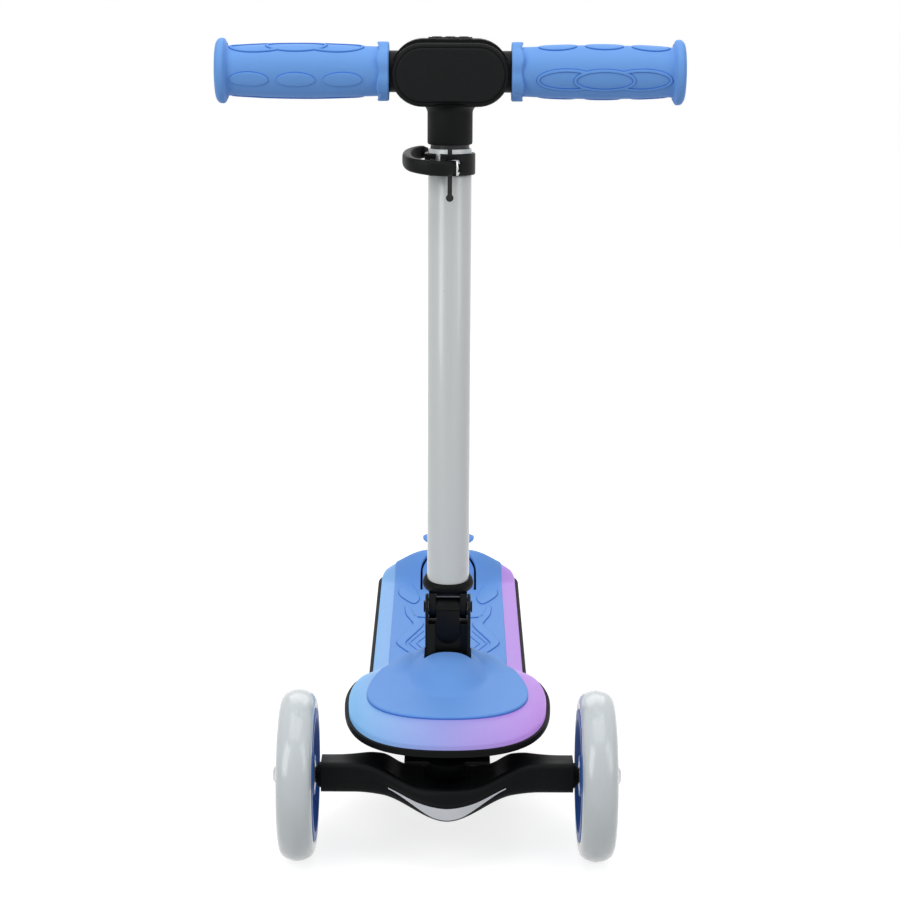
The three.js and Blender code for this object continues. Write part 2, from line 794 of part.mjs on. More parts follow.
const foldPinHeadRadius = 4.4;
const foldPinHead = 1;
const foldPin = turnedX(
  [
    [0, -bracketHalfWidth - seatGap - foldPinHead],
    [foldPinHeadRadius, -bracketHalfWidth - seatGap - foldPinHead],
    [foldPinHeadRadius, -bracketHalfWidth - seatGap],
    [foldPinRadius, -bracketHalfWidth - seatGap],
    [foldPinRadius, bracketHalfWidth + seatGap],
    [foldPinHeadRadius, bracketHalfWidth + seatGap],
    [foldPinHeadRadius, bracketHalfWidth + seatGap + foldPinHead],
    [0, bracketHalfWidth + seatGap + foldPinHead],
  ],
  12,
);
piece("fold_pin", atFoldPin(foldPin), steel, chassis);

// The release: a barrel round the fold pin with a thumb tongue hanging in front of the bracket's web.
const barrelRadius = 8.8;
const tongueThickness = 3.2;
const tongueBack = webFrontAt + recessDepth - seatGap - foldPinAt;
const tongueFront = tongueBack - tongueThickness;
const tongueDrop = 26;
const tongueTipThickness = 1.6;
const tongueShape = new THREE.Shape();
tongueShape.moveTo(-barrelHalfWidth, 0);
tongueShape.lineTo(-barrelHalfWidth, -tongueDrop + barrelHalfWidth);
tongueShape.absarc(0, -tongueDrop + barrelHalfWidth, barrelHalfWidth, Math.PI, 2 * Math.PI, false);
tongueShape.lineTo(barrelHalfWidth, 0);
const tonguePlate = new THREE.ExtrudeGeometry(tongueShape, {
  depth: tongueBack - tongueFront,
  bevelEnabled: false,
  curveSegments: 10,
})
  .rotateX(quarterTurn)
  .translate(0, tongueBack, 0);
const tongueTaper = acrossX(
  [
    [tongueFront - overrun, -tongueDrop - overrun],
    [tongueBack - tongueTipThickness, -tongueDrop - overrun],
    [tongueBack - tongueTipThickness, -tongueDrop],
    [tongueFront, -tongueDrop + barrelHalfWidth],
    [tongueFront - overrun, -tongueDrop + barrelHalfWidth],
  ],
  -barrelHalfWidth - overrun,
  barrelHalfWidth + overrun,
);
const release = cut(
  join(rodX(barrelRadius, -barrelHalfWidth, barrelHalfWidth, 24), tonguePlate),
  tongueTaper,
  rodX(foldPinRadius + seatGap, -barrelHalfWidth - overrun, barrelHalfWidth + overrun, 16),
);
piece("release_lever", atFoldPin(release), blackPlastic, chassis);

// Steering column, in a frame with its origin on the fold pin and z along the tube.

const column = new THREE.Group();
column.position.set(0, foldPinAt, foldPinHeight);
column.rotation.x = -THREE.MathUtils.degToRad(columnLeanDegrees);
chassis.add(column);

const columnBehindPin = 5;
const columnRadius = columnDiameter / 2;
const columnBore = columnRadius - columnWall;
const tubeFoot = 16;
const tubeTopDrop = 55.5; // below the grips' axis
const tubeTop = gripAxisHeight - tubeTopDrop;
const slotWidth = 3.2;
const slotLength = 34;
const slotEyeRadius = 2.8;
const onColumn = (geometry) => geometry.translate(0, columnBehindPin, 0);

const columnTube = cut(
  rodZ(columnRadius, tubeFoot, tubeTop, 26),
  rodZ(columnBore, tubeFoot - overrun, tubeTop + overrun, 26),
  block(-slotWidth / 2, slotWidth / 2, -columnDiameter, 0, tubeTop - slotLength, tubeTop + overrun),
  new THREE.CylinderGeometry(slotEyeRadius, slotEyeRadius, columnDiameter, 12).translate(
    0,
    -columnDiameter / 2,
    tubeTop - slotLength,
  ),
);
piece("column_tube", onColumn(columnTube), whitePaint, column);

const collarWall = 3.3;
const collarSeatWidth = 0.9; // the lip under the tube's end
const collarSeatDepth = 3.4;
const collarCover = 6.6; // up the tube
const collarRadius = columnRadius + collarWall;
const collarBore = columnRadius - collarSeatWidth;
const collarFoot = tubeFoot - collarSeatDepth;
const collarTop = tubeFoot + collarCover;
const collarRing = turned(
  [
    [collarBore, collarFoot],
    [mix(collarBore, collarRadius, 0.45), collarFoot],
    [mix(collarBore, collarRadius, 0.85), mix(collarFoot, collarTop, 0.2)],
    [collarRadius, mix(collarFoot, collarTop, 0.48)],
    [mix(collarBore, collarRadius, 0.84), mix(collarFoot, collarTop, 0.8)],
    [mix(collarBore, collarRadius, 0.55), collarTop],
    [columnRadius + seatGap, collarTop],
    [columnRadius + seatGap, tubeFoot - seatGap],
    [collarBore, tubeFoot - seatGap],
  ],
  18,
);
piece("column_collar", onColumn(collarRing), blackPlastic, column);

// The hinge base: a plug in the tube and two ears on the fold pin, with the release barrel between them.
const earSideGap = 0.4;
const earInner = barrelHalfWidth + earSideGap;
const earOuter = bracketInner - seatGap;
const earRadius = 9;
const baseDepth = 5.1; // below the tube's end
const plugLength = 28;
const baseFoot = tubeFoot - baseDepth;
const plugTop = tubeFoot + plugLength;
const earRoundCount = 8;
const earProfile = [
  [earRadius, collarFoot - seatGap],
  [-earRadius, collarFoot - seatGap],
];
for (let i = 0; i <= earRoundCount; i += 1) {
  const turn = (i / earRoundCount) * Math.PI;
  earProfile.push([-earRadius * Math.cos(turn), -earRadius * Math.sin(turn)]);
}
const hingeBase = cut(
  join(
    onColumn(rodZ(collarBore - seatGap, baseFoot, tubeFoot - seatGap, 18)),
    onColumn(rodZ(columnBore - seatGap, tubeFoot - seatGap - overrun, plugTop, 16)),
    acrossX(earProfile, -earOuter, -earInner),
    acrossX(earProfile, earInner, earOuter),
  ),
  rodX(foldPinRadius + seatGap, -earOuter - overrun, earOuter + overrun, 16),
);
piece("hinge_base", hingeBase, blackMetal, column);

const latchThickness = 1.2;
piece(
  "latch_plate",
  block(
    -barrelHalfWidth,
    barrelHalfWidth,
    -earRadius,
    earRadius,
    baseFoot - seatGap - latchThickness,
    baseFoot - seatGap,
  ),
  steel,
  column,
);

// Quick-release clamp, just below the tube's top.

const clampDrop = 3.5; // the tube's white end shows above the clamp
const clampHeight = 13.5;
const clampWall = 2.7;
const clampTop = tubeTop - clampDrop;
const clampFoot = clampTop - clampHeight;
const clampOuter = columnRadius + clampWall;
const clampMiddle = (clampFoot + clampTop) / 2;
const lugShoulder = 1.25; // the ring's edge above and below the lugs
const lugHeight = clampHeight - 2 * lugShoulder;
const lugLength = 10.2;
const lugReach = clampOuter + lugLength; // from the tube's axis to the front of the lugs
const lugLeftX = -14;
const lugRightX = -3.3;
const clampSplitX = -8.4;
const clampSplitWidth = 3;
const clampBoltRadius = 2.4;
const clampBoltInset = 3.8;
const clampBoltReach = lugReach - clampBoltInset;
const acrossLug = (radius, x0, x1) =>
  rodX(radius, x0, x1, 10).translate(0, -clampBoltReach, clampMiddle);
const clampRing = cut(
  join(
    rodZ(clampOuter, clampFoot, clampTop, 22),
    block(
      lugLeftX,
      lugRightX,
      -lugReach,
      -columnRadius + overrun,
      clampMiddle - lugHeight / 2,
      clampMiddle + lugHeight / 2,
    ),
  ),
  rodZ(columnRadius + seatGap, clampFoot - overrun, clampTop + overrun, 22),
  block(
    clampSplitX - clampSplitWidth / 2,
    clampSplitX + clampSplitWidth / 2,
    -lugReach - overrun,
    0,
    clampFoot - overrun,
    clampTop + overrun,
  ),
  acrossLug(clampBoltRadius + seatGap, lugLeftX - overrun, lugRightX + overrun),
);
piece("clamp_ring", onColumn(clampRing), blackMetal, column);

// The bolt runs through both lugs from a nut on the left into a steel barrel that the lever's cam seats on.
const clampNutRadius = 4;
const clampNutWidth = 2.4;
const pivotRadius = 4;
const camThickness = 1.6;
const camRadius = pivotRadius + camThickness;
const camStandOff = 1.3; // the cam clears the lug by this
const pivotX = lugRightX + camRadius + camStandOff;
const pivotWaistShare = 0.92;
const pivotEndShare = 0.62;
const nutFaceX = lugLeftX - seatGap;
const clampBolt = turnedX(
  [
    [0, nutFaceX - clampNutWidth],
    [clampNutRadius, nutFaceX - clampNutWidth],
    [clampNutRadius, nutFaceX],
    [clampBoltRadius, nutFaceX],
    [clampBoltRadius, pivotX],
    [0, pivotX],
  ],
  10,
);
const pivotBarrel = turned(
  [
    [0, -lugHeight / 2],
    [pivotRadius * pivotEndShare, -lugHeight / 2],
    [pivotRadius * pivotWaistShare, -lugHeight / 4],
    [pivotRadius, 0],
    [pivotRadius * pivotWaistShare, lugHeight / 4],
    [pivotRadius * pivotEndShare, lugHeight / 2],
    [0, lugHeight / 2],
  ],
  16,
).translate(pivotX, 0, 0);
piece(
  "clamp_bolt",
  onColumn(join(clampBolt, pivotBarrel).translate(0, -clampBoltReach, clampMiddle)),
  steel,
  column,
);

// The cam lever wraps round the left of the clamp and rises towards its tip.
const leverSpread = 14.8; // the lever's middle outside the ring
const leverReach = clampOuter + leverSpread;
const leverHalfThickness = 3.3;
const leverHalfHeight = 6.2;
const leverTipHalfHeight = 4.4;
const leverRise = 6.5;
const leverStations = 12;
// Turn about the tube in degrees, and the share of the reach there.
const leverReachShares = [
  [-85.6, 0.85],
  [-97, 1.03],
  [-113.5, 1.14],
  [-135, 1.15],
  [-162, 1],
  [-188, 0.93],
  [-210, 0.87],
  [-229, 0.81],
];
const leverPath = new THREE.CatmullRomCurve3(
  leverReachShares.map(([degrees, reachShare], i) => {
    const turn = THREE.MathUtils.degToRad(degrees);
    const reach = leverReach * reachShare;
    const climb = leverRise * smooth(i, 1, leverReachShares.length - 1);
    return new THREE.Vector3(reach * Math.cos(turn), reach * Math.sin(turn), climb);
  }),
);
const leverSectionShares = [
  [1, 0.45],
  [0.55, 1],
  [-0.7, 1],
  [-1, 0.6],
  [-1, -0.6],
  [-0.7, -1],
  [0.55, -1],
  [1, -0.45],
];
const leverRings = [];
for (let i = 0; i <= leverStations; i += 1) {
  const share = i / leverStations;
  const at = leverPath.getPointAt(share);
  const along = leverPath.getTangentAt(share);
  const out = new THREE.Vector3(along.y, -along.x, 0).normalize();
  const half = mix(leverHalfHeight, leverTipHalfHeight, share);
  leverRings.push(
    leverSectionShares.map(([outShare, upShare]) =>
      at
        .clone()
        .addScaledVector(out, outShare * leverHalfThickness)
        .add(new THREE.Vector3(0, 0, upShare * half + clampMiddle)),
    ),
  );
}
const atPivot = (geometry) => geometry.translate(pivotX, -clampBoltReach, 0);
const camMouthInset = 1; // the cam is open to the right, so that the barrel shows
const camFoot = clampMiddle - leverHalfHeight;
const camTop = clampMiddle + leverHalfHeight;
const clampLever = cut(
  join(loft(leverRings), atPivot(rodZ(camRadius, camFoot, camTop, 18))),
  atPivot(rodZ(pivotRadius + runGap, camFoot - overrun, camTop + overrun, 14)),
  atPivot(
    block(
      camMouthInset,
      camRadius + overrun,
      -camRadius,
      camRadius,
      camFoot - overrun,
      camTop + overrun,
    ),
  ),
  atPivot(
    block(
      -camRadius - overrun,
      camRadius,
      -clampBoltRadius - runGap,
      camRadius + overrun,
      clampMiddle - clampBoltRadius - runGap,
      clampMiddle + clampBoltRadius + runGap,
    ),
  ),
);
piece("clamp_lever", onColumn(clampLever), blackPlastic, column);

// Handlebar, in a frame whose origin is where the grips' axis crosses the column.

const bar = new THREE.Group();
bar.position.set(0, columnBehindPin, gripAxisHeight);
column.add(bar);

const headWidth = 84;
const headHeight = 46;
const headDepth = 38;
const headEdge = 3.5;
const headCurveCount = 4;
const headTop = headHeight / 2;
const neckWall = 0.6; // the neck stands out from the column's tube by this
const neckGap = 4.5; // the inner tube shows between the column's tube and the neck
const neckRound = 1;
const neckFillet = 5;
const neckRadius = columnRadius + neckWall;
const neckFoot = neckGap - tubeTopDrop;
const barTubeRadius = 11.1;
const stubWall = 3.5;
const stubRadius = barTubeRadius + stubWall;
const gripStandOff = 2.6; // the grips begin this far outside the head
const gripInnerAt = headWidth / 2 + gripStandOff;
const bezelTubeGap = 0.9; // the front frame stops short of the bar tubes
const bezelBackAt = -barTubeRadius - bezelTubeGap;
const controlRecess = 3;
const pocketRoof = 3; // material between the pocket and the controls' recess
const pocketHalfWidth = 22;
const pocketHalfHeight = headTop - controlRecess - pocketRoof;
const pocketBackWall = 7;
const pocketBackAt = headDepth / 2 - pocketBackWall;
const barTubeSeat = 4; // the bar tubes end this far outside the pocket
const barTubeInnerAt = pocketHalfWidth + barTubeSeat;
const innerTubeRadius = columnBore - seatGap;
const innerTubeWall = 1.5;
const innerTubeLength = 200;
const pocketFloorThickness = 8;
const innerTubeTop = -pocketHalfHeight - pocketFloorThickness;

// A stadium slab with rounded back or front edges, between two depths.
function stadiumSlab(width, height, y0, y1, edge, segments) {
  return standing(stadium(width - 2 * edge, height - 2 * edge), y1 - y0 - 2 * edge, {
    bevelEnabled: edge > 0,
    bevelThickness: edge,
    bevelSize: edge,
    bevelSegments: segments,
    curveSegments: headCurveCount,
  }).translate(0, y1 - edge, 0);
}

const filletShares = [0.3, 0.4];
const neck = turned(
  [
    [0, neckFoot],
    [neckRadius - neckRound, neckFoot],
    [neckRadius, neckFoot + neckRound],
    [neckRadius, -headTop - neckFillet],
    [neckRadius + neckFillet * filletShares[0], -headTop - neckFillet * filletShares[1]],
    [neckRadius + neckFillet, -headTop + overrun],
    [0, -headTop + overrun],
  ],
  20,
);
const buttonRadius = 3.6;
const buttonPitch = 9.6;
const controlEndMargin = 2.3;
const controlSideMargin = 2.9;
const controlHalfWidth = buttonPitch + buttonRadius + controlEndMargin;
const controlHalfDepth = buttonRadius + controlSideMargin;
const controlAt = 4;
const controlProud = 1;
const bezelSeat = 0.8;
const bezelSideInset = 1.5;
const bezelTopInset = 1;
const bezelWidth = headWidth - 2 * bezelSideInset;
const bezelHeight = headHeight - 2 * bezelTopInset;
const headBody = cut(
  join(
    common(
      stadiumSlab(headWidth, headHeight, -headDepth / 2, headDepth / 2, headEdge, 2),
      block(-headWidth, headWidth, bezelBackAt, headDepth, -headHeight, headHeight),
    ),
    neck,
    rodX(stubRadius, -gripInnerAt + seatGap, gripInnerAt - seatGap, 20),
  ),
  block(-pocketHalfWidth, pocketHalfWidth, -headDepth, pocketBackAt, -pocketHalfHeight, pocketHalfHeight),
  stadiumSlab(
    bezelWidth + 2 * seatGap,
    bezelHeight + 2 * seatGap,
    -headDepth,
    bezelBackAt + bezelSeat,
    0,
    1,
  ),
  rodX(barTubeRadius + seatGap, -headWidth, headWidth, 16),
  rodZ(innerTubeRadius + seatGap, neckFoot - overrun, innerTubeTop + seatGap, 20),
  block(
    -controlHalfWidth - seatGap,
    controlHalfWidth + seatGap,
    controlAt - controlHalfDepth - seatGap,
    controlAt + controlHalfDepth + seatGap,
    headTop - controlRecess,
    headTop + overrun,
  ),
);
piece("head_body", headBody, blackPlastic, bar);

const bezelRim = 4;
const bezel = cut(
  common(
    stadiumSlab(bezelWidth, bezelHeight, -headDepth / 2, headDepth / 2, headEdge, 2),
    block(
      -headWidth,
      headWidth,
      -headDepth,
      bezelBackAt + bezelSeat - seatGap,
      -headHeight,
      headHeight,
    ),
  ),
  stadiumSlab(
    bezelWidth - 2 * bezelRim,
    bezelHeight - 2 * bezelRim,
    -headDepth,
    headDepth,
    0,
    1,
  ),
);
piece("head_bezel", bezel, blackPlastic, bar);

const grilleEdge = 4.5;
const grilleProud = 1.2;
const grilleWidth = bezelWidth - 2 * bezelRim - 2 * seatGap;
const grilleHeight = bezelHeight - 2 * bezelRim - 2 * seatGap;
const grille = common(
  stadiumSlab(
    grilleWidth,
    grilleHeight,
    -headDepth / 2 - grilleProud,
    headDepth / 2,
    grilleEdge,
    2,
  ),
  block(-headWidth, headWidth, -headDepth, bezelBackAt - seatGap, -headHeight, headHeight),
);
const grilleWall = 2;
piece(
  "speaker_mesh",
  cut(
    grille,
    stadiumSlab(
      grilleWidth - 2 * grilleEdge,
      grilleHeight - 2 * grilleEdge,
      -headDepth / 2 - grilleProud + grilleWall + grilleEdge / 2,
      headDepth,
      0,
      1,
    ),
  ),
  blackPlastic,
  bar,
);

// Behind the mesh: the speaker driver, the sound board and the battery cell.
const driverSideGap = 1;
const driverFrontGap = 1;
const driverRadius = pocketHalfHeight - driverSideGap;
const magnetRadius = 10;
const driverFrontAt = bezelBackAt + driverFrontGap;
const driverFlange = 2;
const driverDepth = 14;
const driver = turned(
  [
    [0, 0],
    [magnetRadius, 0],
    [magnetRadius, driverDepth * 0.35],
    [driverRadius * 0.75, driverDepth * 0.5],
    [driverRadius, driverDepth - driverFlange],
    [driverRadius, driverDepth],
    [driverRadius * 0.85, driverDepth],
    [magnetRadius * 0.5, driverDepth * 0.7],
    [0, driverDepth * 0.75],
  ],
  12,
).rotateX(quarterTurn);
piece("speaker_driver", driver.translate(0, driverFrontAt + driverDepth, 0), darkSteel, bar);

const boardThickness = 1.6;
const boardEndGap = 6;
const boardTopGap = 4;
const boardHalfWidth = pocketHalfWidth - boardEndGap;
const boardHalfHeight = pocketHalfHeight - boardTopGap;
piece(
  "sound_board",
  block(
    -boardHalfWidth,
    boardHalfWidth,
    pocketBackAt - seatGap - boardThickness,
    pocketBackAt - seatGap,
    -boardHalfHeight,
    boardHalfHeight,
  ),
  boardGreen,
  bar,
);

// Three push buttons in a raised strip on top of the head.
const buttonHeight = 3.2;
const buttonProud = 0.4;
const controlTop = headTop + controlProud;
const buttonHoles = [-1, 0, 1].map((step) =>
  rodZ(buttonRadius + seatGap, -headTop, controlTop + overrun, 14).translate(
    step * buttonPitch,
    controlAt,
    0,
  ),
);
piece(
  "control_strip",
  cut(
    block(
      -controlHalfWidth,
      controlHalfWidth,
      controlAt - controlHalfDepth,
      controlAt + controlHalfDepth,
      headTop - controlRecess + seatGap,
      controlTop,
    ),
    ...buttonHoles,
  ),
  blackPlastic,
  bar,
);
["button_left", "button_centre", "button_right"].forEach((name, i) => {
  piece(
    name,
    rodZ(buttonRadius, controlTop + buttonProud - buttonHeight, controlTop + buttonProud, 14).translate(
      (i - 1) * buttonPitch,
      controlAt,
      0,
    ),
    rubber,
    bar,
  );
});

piece(
  "inner_tube",
  cut(
    rodZ(innerTubeRadius, innerTubeTop - innerTubeLength, innerTubeTop, 20),
    rodZ(
      innerTubeRadius - innerTubeWall,
      innerTubeTop - innerTubeLength - overrun,
      innerTubeTop + overrun,
      16,
    ),
  ),
  blackMetal,
  bar,
);

// Grips: a barrel-shaped sleeve with a wide outer flange and a scalloped collar next to the head.
const gripOuterAt = handlebarWidth / 2;
const gripWall = 7.5;
const gripBelly = 1.1;
const flangeRise = 4.3;
const flangeShoulder = 2.4;
const flangeWidth = 9;
const collarWidth = 7.4;
const scallopRise = 2.8;
const scallopDepth = 1.3;
const scallopCount = 6;
const scallopSteps = 4;
const gripRadius = barTubeRadius + gripWall;
const gripBellyRadius = gripRadius + gripBelly;
const flangeRadius = gripRadius + flangeRise;
const scallopRadius = gripRadius + scallopRise;
const gripEndWall = 4;
const barTubeOuterAt = gripOuterAt - gripEndWall;
const scallop = new THREE.Shape();
for (let i = 0; i < scallopCount * scallopSteps; i += 1) {
  const turn = (i / (scallopCount * scallopSteps)) * 2 * Math.PI;
  const wave = (1 + Math.cos(scallopCount * turn)) / 2;
  const reach = scallopRadius - scallopDepth * wave ** 2;
  const x = reach * Math.cos(turn);
  const y = reach * Math.sin(turn);
  if (i === 0) scallop.moveTo(x, y);
  else scallop.lineTo(x, y);
}
const gripGeometry = () =>
  cut(
    join(
      turnedX(
        [
          [0, gripInnerAt],
          [gripRadius, gripInnerAt],
          [gripRadius, gripInnerAt + collarWidth * 1.4],
          [gripBellyRadius, mix(gripInnerAt, gripOuterAt, 0.42)],
          [mix(gripRadius, gripBellyRadius, 0.8), mix(gripInnerAt, gripOuterAt, 0.7)],
          [gripRadius, gripOuterAt - flangeWidth * 1.15],
          [flangeRadius - flangeShoulder, gripOuterAt - flangeWidth * 0.86],
          [flangeRadius, gripOuterAt - flangeWidth * 0.6],
          [flangeRadius, gripOuterAt - flangeWidth * 0.34],
          [flangeRadius * 0.88, gripOuterAt],
          [0, gripOuterAt],
        ],
        18,
      ),
      new THREE.ExtrudeGeometry(scallop, { depth: collarWidth, bevelEnabled: false })
        .rotateY(quarterTurn)
        .translate(gripInnerAt, 0, 0),
    ),
    rodX(barTubeRadius + seatGap, gripInnerAt - overrun, barTubeOuterAt + seatGap, 16),
  );
const barTube = () =>
  cut(
    rodX(barTubeRadius, barTubeInnerAt, barTubeOuterAt, 16),
    rodX(barTubeRadius - innerTubeWall, barTubeInnerAt - overrun, barTubeOuterAt - innerTubeWall, 12),
  );
piece("grip_right", gripGeometry(), blueRubber, bar);
piece("grip_left", gripGeometry().rotateZ(Math.PI), blueRubber, bar);
piece("bar_tube_right", barTube(), steel, bar);
piece("bar_tube_left", barTube().rotateZ(Math.PI), steel, bar);

// Truck: the front beam, which turns on the kingpin.

// The kingpin's frame: its origin is where the pin meets the beam's dished top, its z runs up the pin.
const kingpinAt = 12;
const kingpinRise = 2; // above the axle
const kingpinHeight = axleHeight + kingpinRise;
const kingpinTilt = THREE.MathUtils.degToRad(kingpinTiltDegrees);
const kingpinFrame = new THREE.Matrix4()
  .makeTranslation(0, kingpinAt, kingpinHeight)
  .multiply(new THREE.Matrix4().makeRotationX(kingpinTilt));
const onKingpin = (geometry) => geometry.applyMatrix4(kingpinFrame);

const hubLength = 20;
const hubSleeveRadius = 14;
const bossWall = 1.4;
const bossRadius = hubSleeveRadius + bossWall;
const bossFoot = 3.2;
const bossTop = 40;
const bossPlateHalfWidth = 30;
const bossPlateFrontAt = -8;
const bossPlateRearAt = 42;
const bossPlateThickness = 3;
const noseFloor = noseRimHeight - noseTrayDepth;
const kingpinRadius = 5;
const kingpinTop = 9;
const bushingFoot = 0.3;
const bushingInset = 0.4;
const bushingRadius = hubSleeveRadius - bushingInset;
const pivotBoss = cut(
  join(
    onKingpin(rodZ(bossRadius, bossFoot, bossTop, 16)),
    block(
      -bossPlateHalfWidth,
      bossPlateHalfWidth,
      bossPlateFrontAt,
      bossPlateRearAt,
      noseFloor - seatGap - bossPlateThickness,
      noseFloor - seatGap,
    ),
  ),
  block(-noseWidth, noseWidth, -noseWidth, noseWidth, noseFloor - seatGap, noseWidth),
  onKingpin(rodZ(hubSleeveRadius + 2 * runGap, -hubLength, bossFoot, 18)),
  onKingpin(rodZ(kingpinRadius + seatGap, -hubLength, kingpinTop + seatGap, 14)),
);
piece("pivot_boss", pivotBoss, blackPlastic, chassis);

piece(
  "pivot_bushing",
  onKingpin(
    cut(
      rodZ(bushingRadius, bushingFoot, bossFoot - seatGap, 20),
      rodZ(kingpinRadius + seatGap, -overrun, bossFoot + overrun, 14),
    ),
  ),
  rubber,
  chassis,
);

const kingpinHeadRadius = 8.5;
const kingpinHeadHeight = 5;
piece(
  "kingpin",
  onKingpin(
    turned(
      [
        [0, -hubLength - seatGap - kingpinHeadHeight],
        [kingpinHeadRadius, -hubLength - seatGap - kingpinHeadHeight],
        [kingpinHeadRadius, -hubLength - seatGap],
        [kingpinRadius, -hubLength - seatGap],
        [kingpinRadius, kingpinTop],
        [0, kingpinTop],
      ],
      14,
    ),
  ),
  steel,
  chassis,
);

// The beam is lofted across the scooter: [x share, front, rear, bottom, top, dish floor] at each station.
const truck = new THREE.Group();
chassis.add(truck);
const wheelStandOff = 17.1; // from the beam's end to the middle of the wheel
const beamHalfSpan = frontTrack / 2 - wheelStandOff;
const beamEndDepth = 12;
const beamEndDrop = 9.5;
const beamEndRise = 12;
const beamCentreFront = -34;
const beamCentreRear = 30;
const beamCentreDrop = 22;
const beamCentreRise = 1;
const beamEdge = 5;
const beamFootSetback = 0.8;
const beamFootRise = 3.5;
const ledgeHalfHeight = 0.6;
const ledgeStep = 2.2;
const ledgeEndStep = 0.3;
const beamLipDrop = 4.5;
const beamLipSetback = 2.2;
const beamLipRound = 1;
const beamRimWidth = 6;
const beamRearDrop = 4;
const dishDepth = 4.5;
const dishSlope = 5;
const beamStations = 12;
// Where along the half span each form starts and ends.
const bulgeShares = [0, 0.74];
const dropShares = [0, 0.52];
const widthShares = [0.1, 0.9];
const riseShares = [0.16, 0.86];
const dishShares = [0.68, 0.95];
const ledgeHeightShare = 0.56;
const beamRings = [];
for (let i = -beamStations / 2; i <= beamStations / 2; i += 1) {
  const share = Math.abs(i) / (beamStations / 2);
  const x = Math.sign(i) * beamHalfSpan * share;
  const bulge = 1 - smooth(share, ...bulgeShares);
  const front = mix(-beamEndDepth, beamCentreFront, bulge);
  const rear = mix(beamEndDepth, beamCentreRear, 1 - smooth(share, ...widthShares));
  const drop = mix(beamEndDrop, beamCentreDrop, 1 - smooth(share, ...dropShares));
  const bottom = axleHeight - drop;
  const top = axleHeight + mix(beamCentreRise, beamEndRise, smooth(share, ...riseShares));
  const ledge = mix(bottom, top, ledgeHeightShare);
  const step = mix(ledgeEndStep, ledgeStep, bulge);
  const dish = dishDepth * (1 - smooth(share, ...dishShares));
  beamRings.push(
    [
      [front + beamEdge, bottom],
      [front + beamFootSetback, bottom + beamFootRise],
      [front, ledge - ledgeHalfHeight],
      [front + step, ledge + ledgeHalfHeight],
      [front + step, top - beamLipDrop],
      [front + step + beamLipSetback, top - beamLipRound],
      [front + step + beamRimWidth, top],
      [front + step + beamRimWidth + dishSlope, top - dish],
      [rear - beamEdge, top - dish],
      [rear, top - dish - beamRearDrop],
      [rear, bottom + beamEdge],
      [rear - beamEdge, bottom],
    ].map(([y, z]) => new THREE.Vector3(x, y, z)),
  );
}
const axleBoltRadius = 3.7;
const axleEmbed = 26;
const bossSwingGap = 3;
const kingpinHeadGap = 2.5;
const kingpinWellDepth = 20;
const beam = cut(
  join(loft(beamRings), onKingpin(rodZ(hubSleeveRadius, -hubLength, 0, 18))),
  onKingpin(rodZ(bossRadius + bossSwingGap, 0, bossTop, 18)),
  onKingpin(rodZ(kingpinRadius + seatGap, -hubLength - kingpinWellDepth, overrun, 14)),
  onKingpin(
    rodZ(kingpinHeadRadius + kingpinHeadGap, -hubLength - kingpinWellDepth, -hubLength, 14),
  ),
  rodX(axleBoltRadius + seatGap, beamHalfSpan - axleEmbed, beamHalfSpan + overrun, 16).translate(
    0,
    0,
    axleHeight,
  ),
  rodX(axleBoltRadius + seatGap, -beamHalfSpan - overrun, -beamHalfSpan + axleEmbed, 16).translate(
    0,
    0,
    axleHeight,
  ),
);
piece("truck_beam", beam, blackPlastic, truck);

// Wheels.

const bearingRadius = 11;
const bearingBore = 4;
const bearingWidth = 7;
const hubBossWall = 3.4;
const hubBoreStep = 2; // the bearings seat on a shoulder of this height
const hubFaceInset = 0.5; // the front hubs' boss is inside the tyre's faces
const rimOverhang = 0.5; // and their rim stands outside them
const hubWidth = frontTyreWidth - 2 * hubFaceInset;
const spokeCount = 5;
const spokeRoot = 2; // the spokes run this far into the boss
const spokeWidthShare = 0.36;
// Half widths of a spoke at the boss, at its waist and at the rim, in the boss's radius.
const spokeShares = [0.5, 0.3, 0.62];
const rimWallShare = 0.13;
const rimCrownShare = 1.5;
const spokeTipShare = 0.6;
// A tyre's section from the hub to the tread: how far up, and how much of the half width.
const tyreSectionShares = [
  [0, 0.64],
  [0.08, 0.92],
  [0.35, 1],
  [0.7, 0.85],
  [1, 0],
];

function tyreGeometry(outerRadius, innerRadius, width, sides) {
  const depth = outerRadius - innerRadius;
  const side = (sign) =>
    tyreSectionShares.map(([up, out]) => [innerRadius + depth * up, (sign * out * width) / 2]);
  return turnedX([...side(1), ...side(-1).slice(0, -1).reverse()], sides);
}

function spokeGeometry(bossOuter, rimInner, rimRadius, width, turn) {
  const [root, waist, tip] = spokeShares.map((share) => share * bossOuter);
  const waistAt = (bossOuter + rimRadius) / 2;
  const shape = new THREE.Shape();
  shape.moveTo(bossOuter - spokeRoot, -root);
  shape.lineTo(waistAt, -waist);
  shape.lineTo(rimInner, -tip);
  shape.lineTo(rimInner, tip);
  shape.lineTo(waistAt, waist);
  shape.lineTo(bossOuter - spokeRoot, root);
  return new THREE.ExtrudeGeometry(shape, { depth: width * spokeWidthShare, bevelEnabled: false })
    .translate(0, 0, (-width * spokeWidthShare) / 2)
    .rotateY(quarterTurn)
    .rotateX(turn);
}

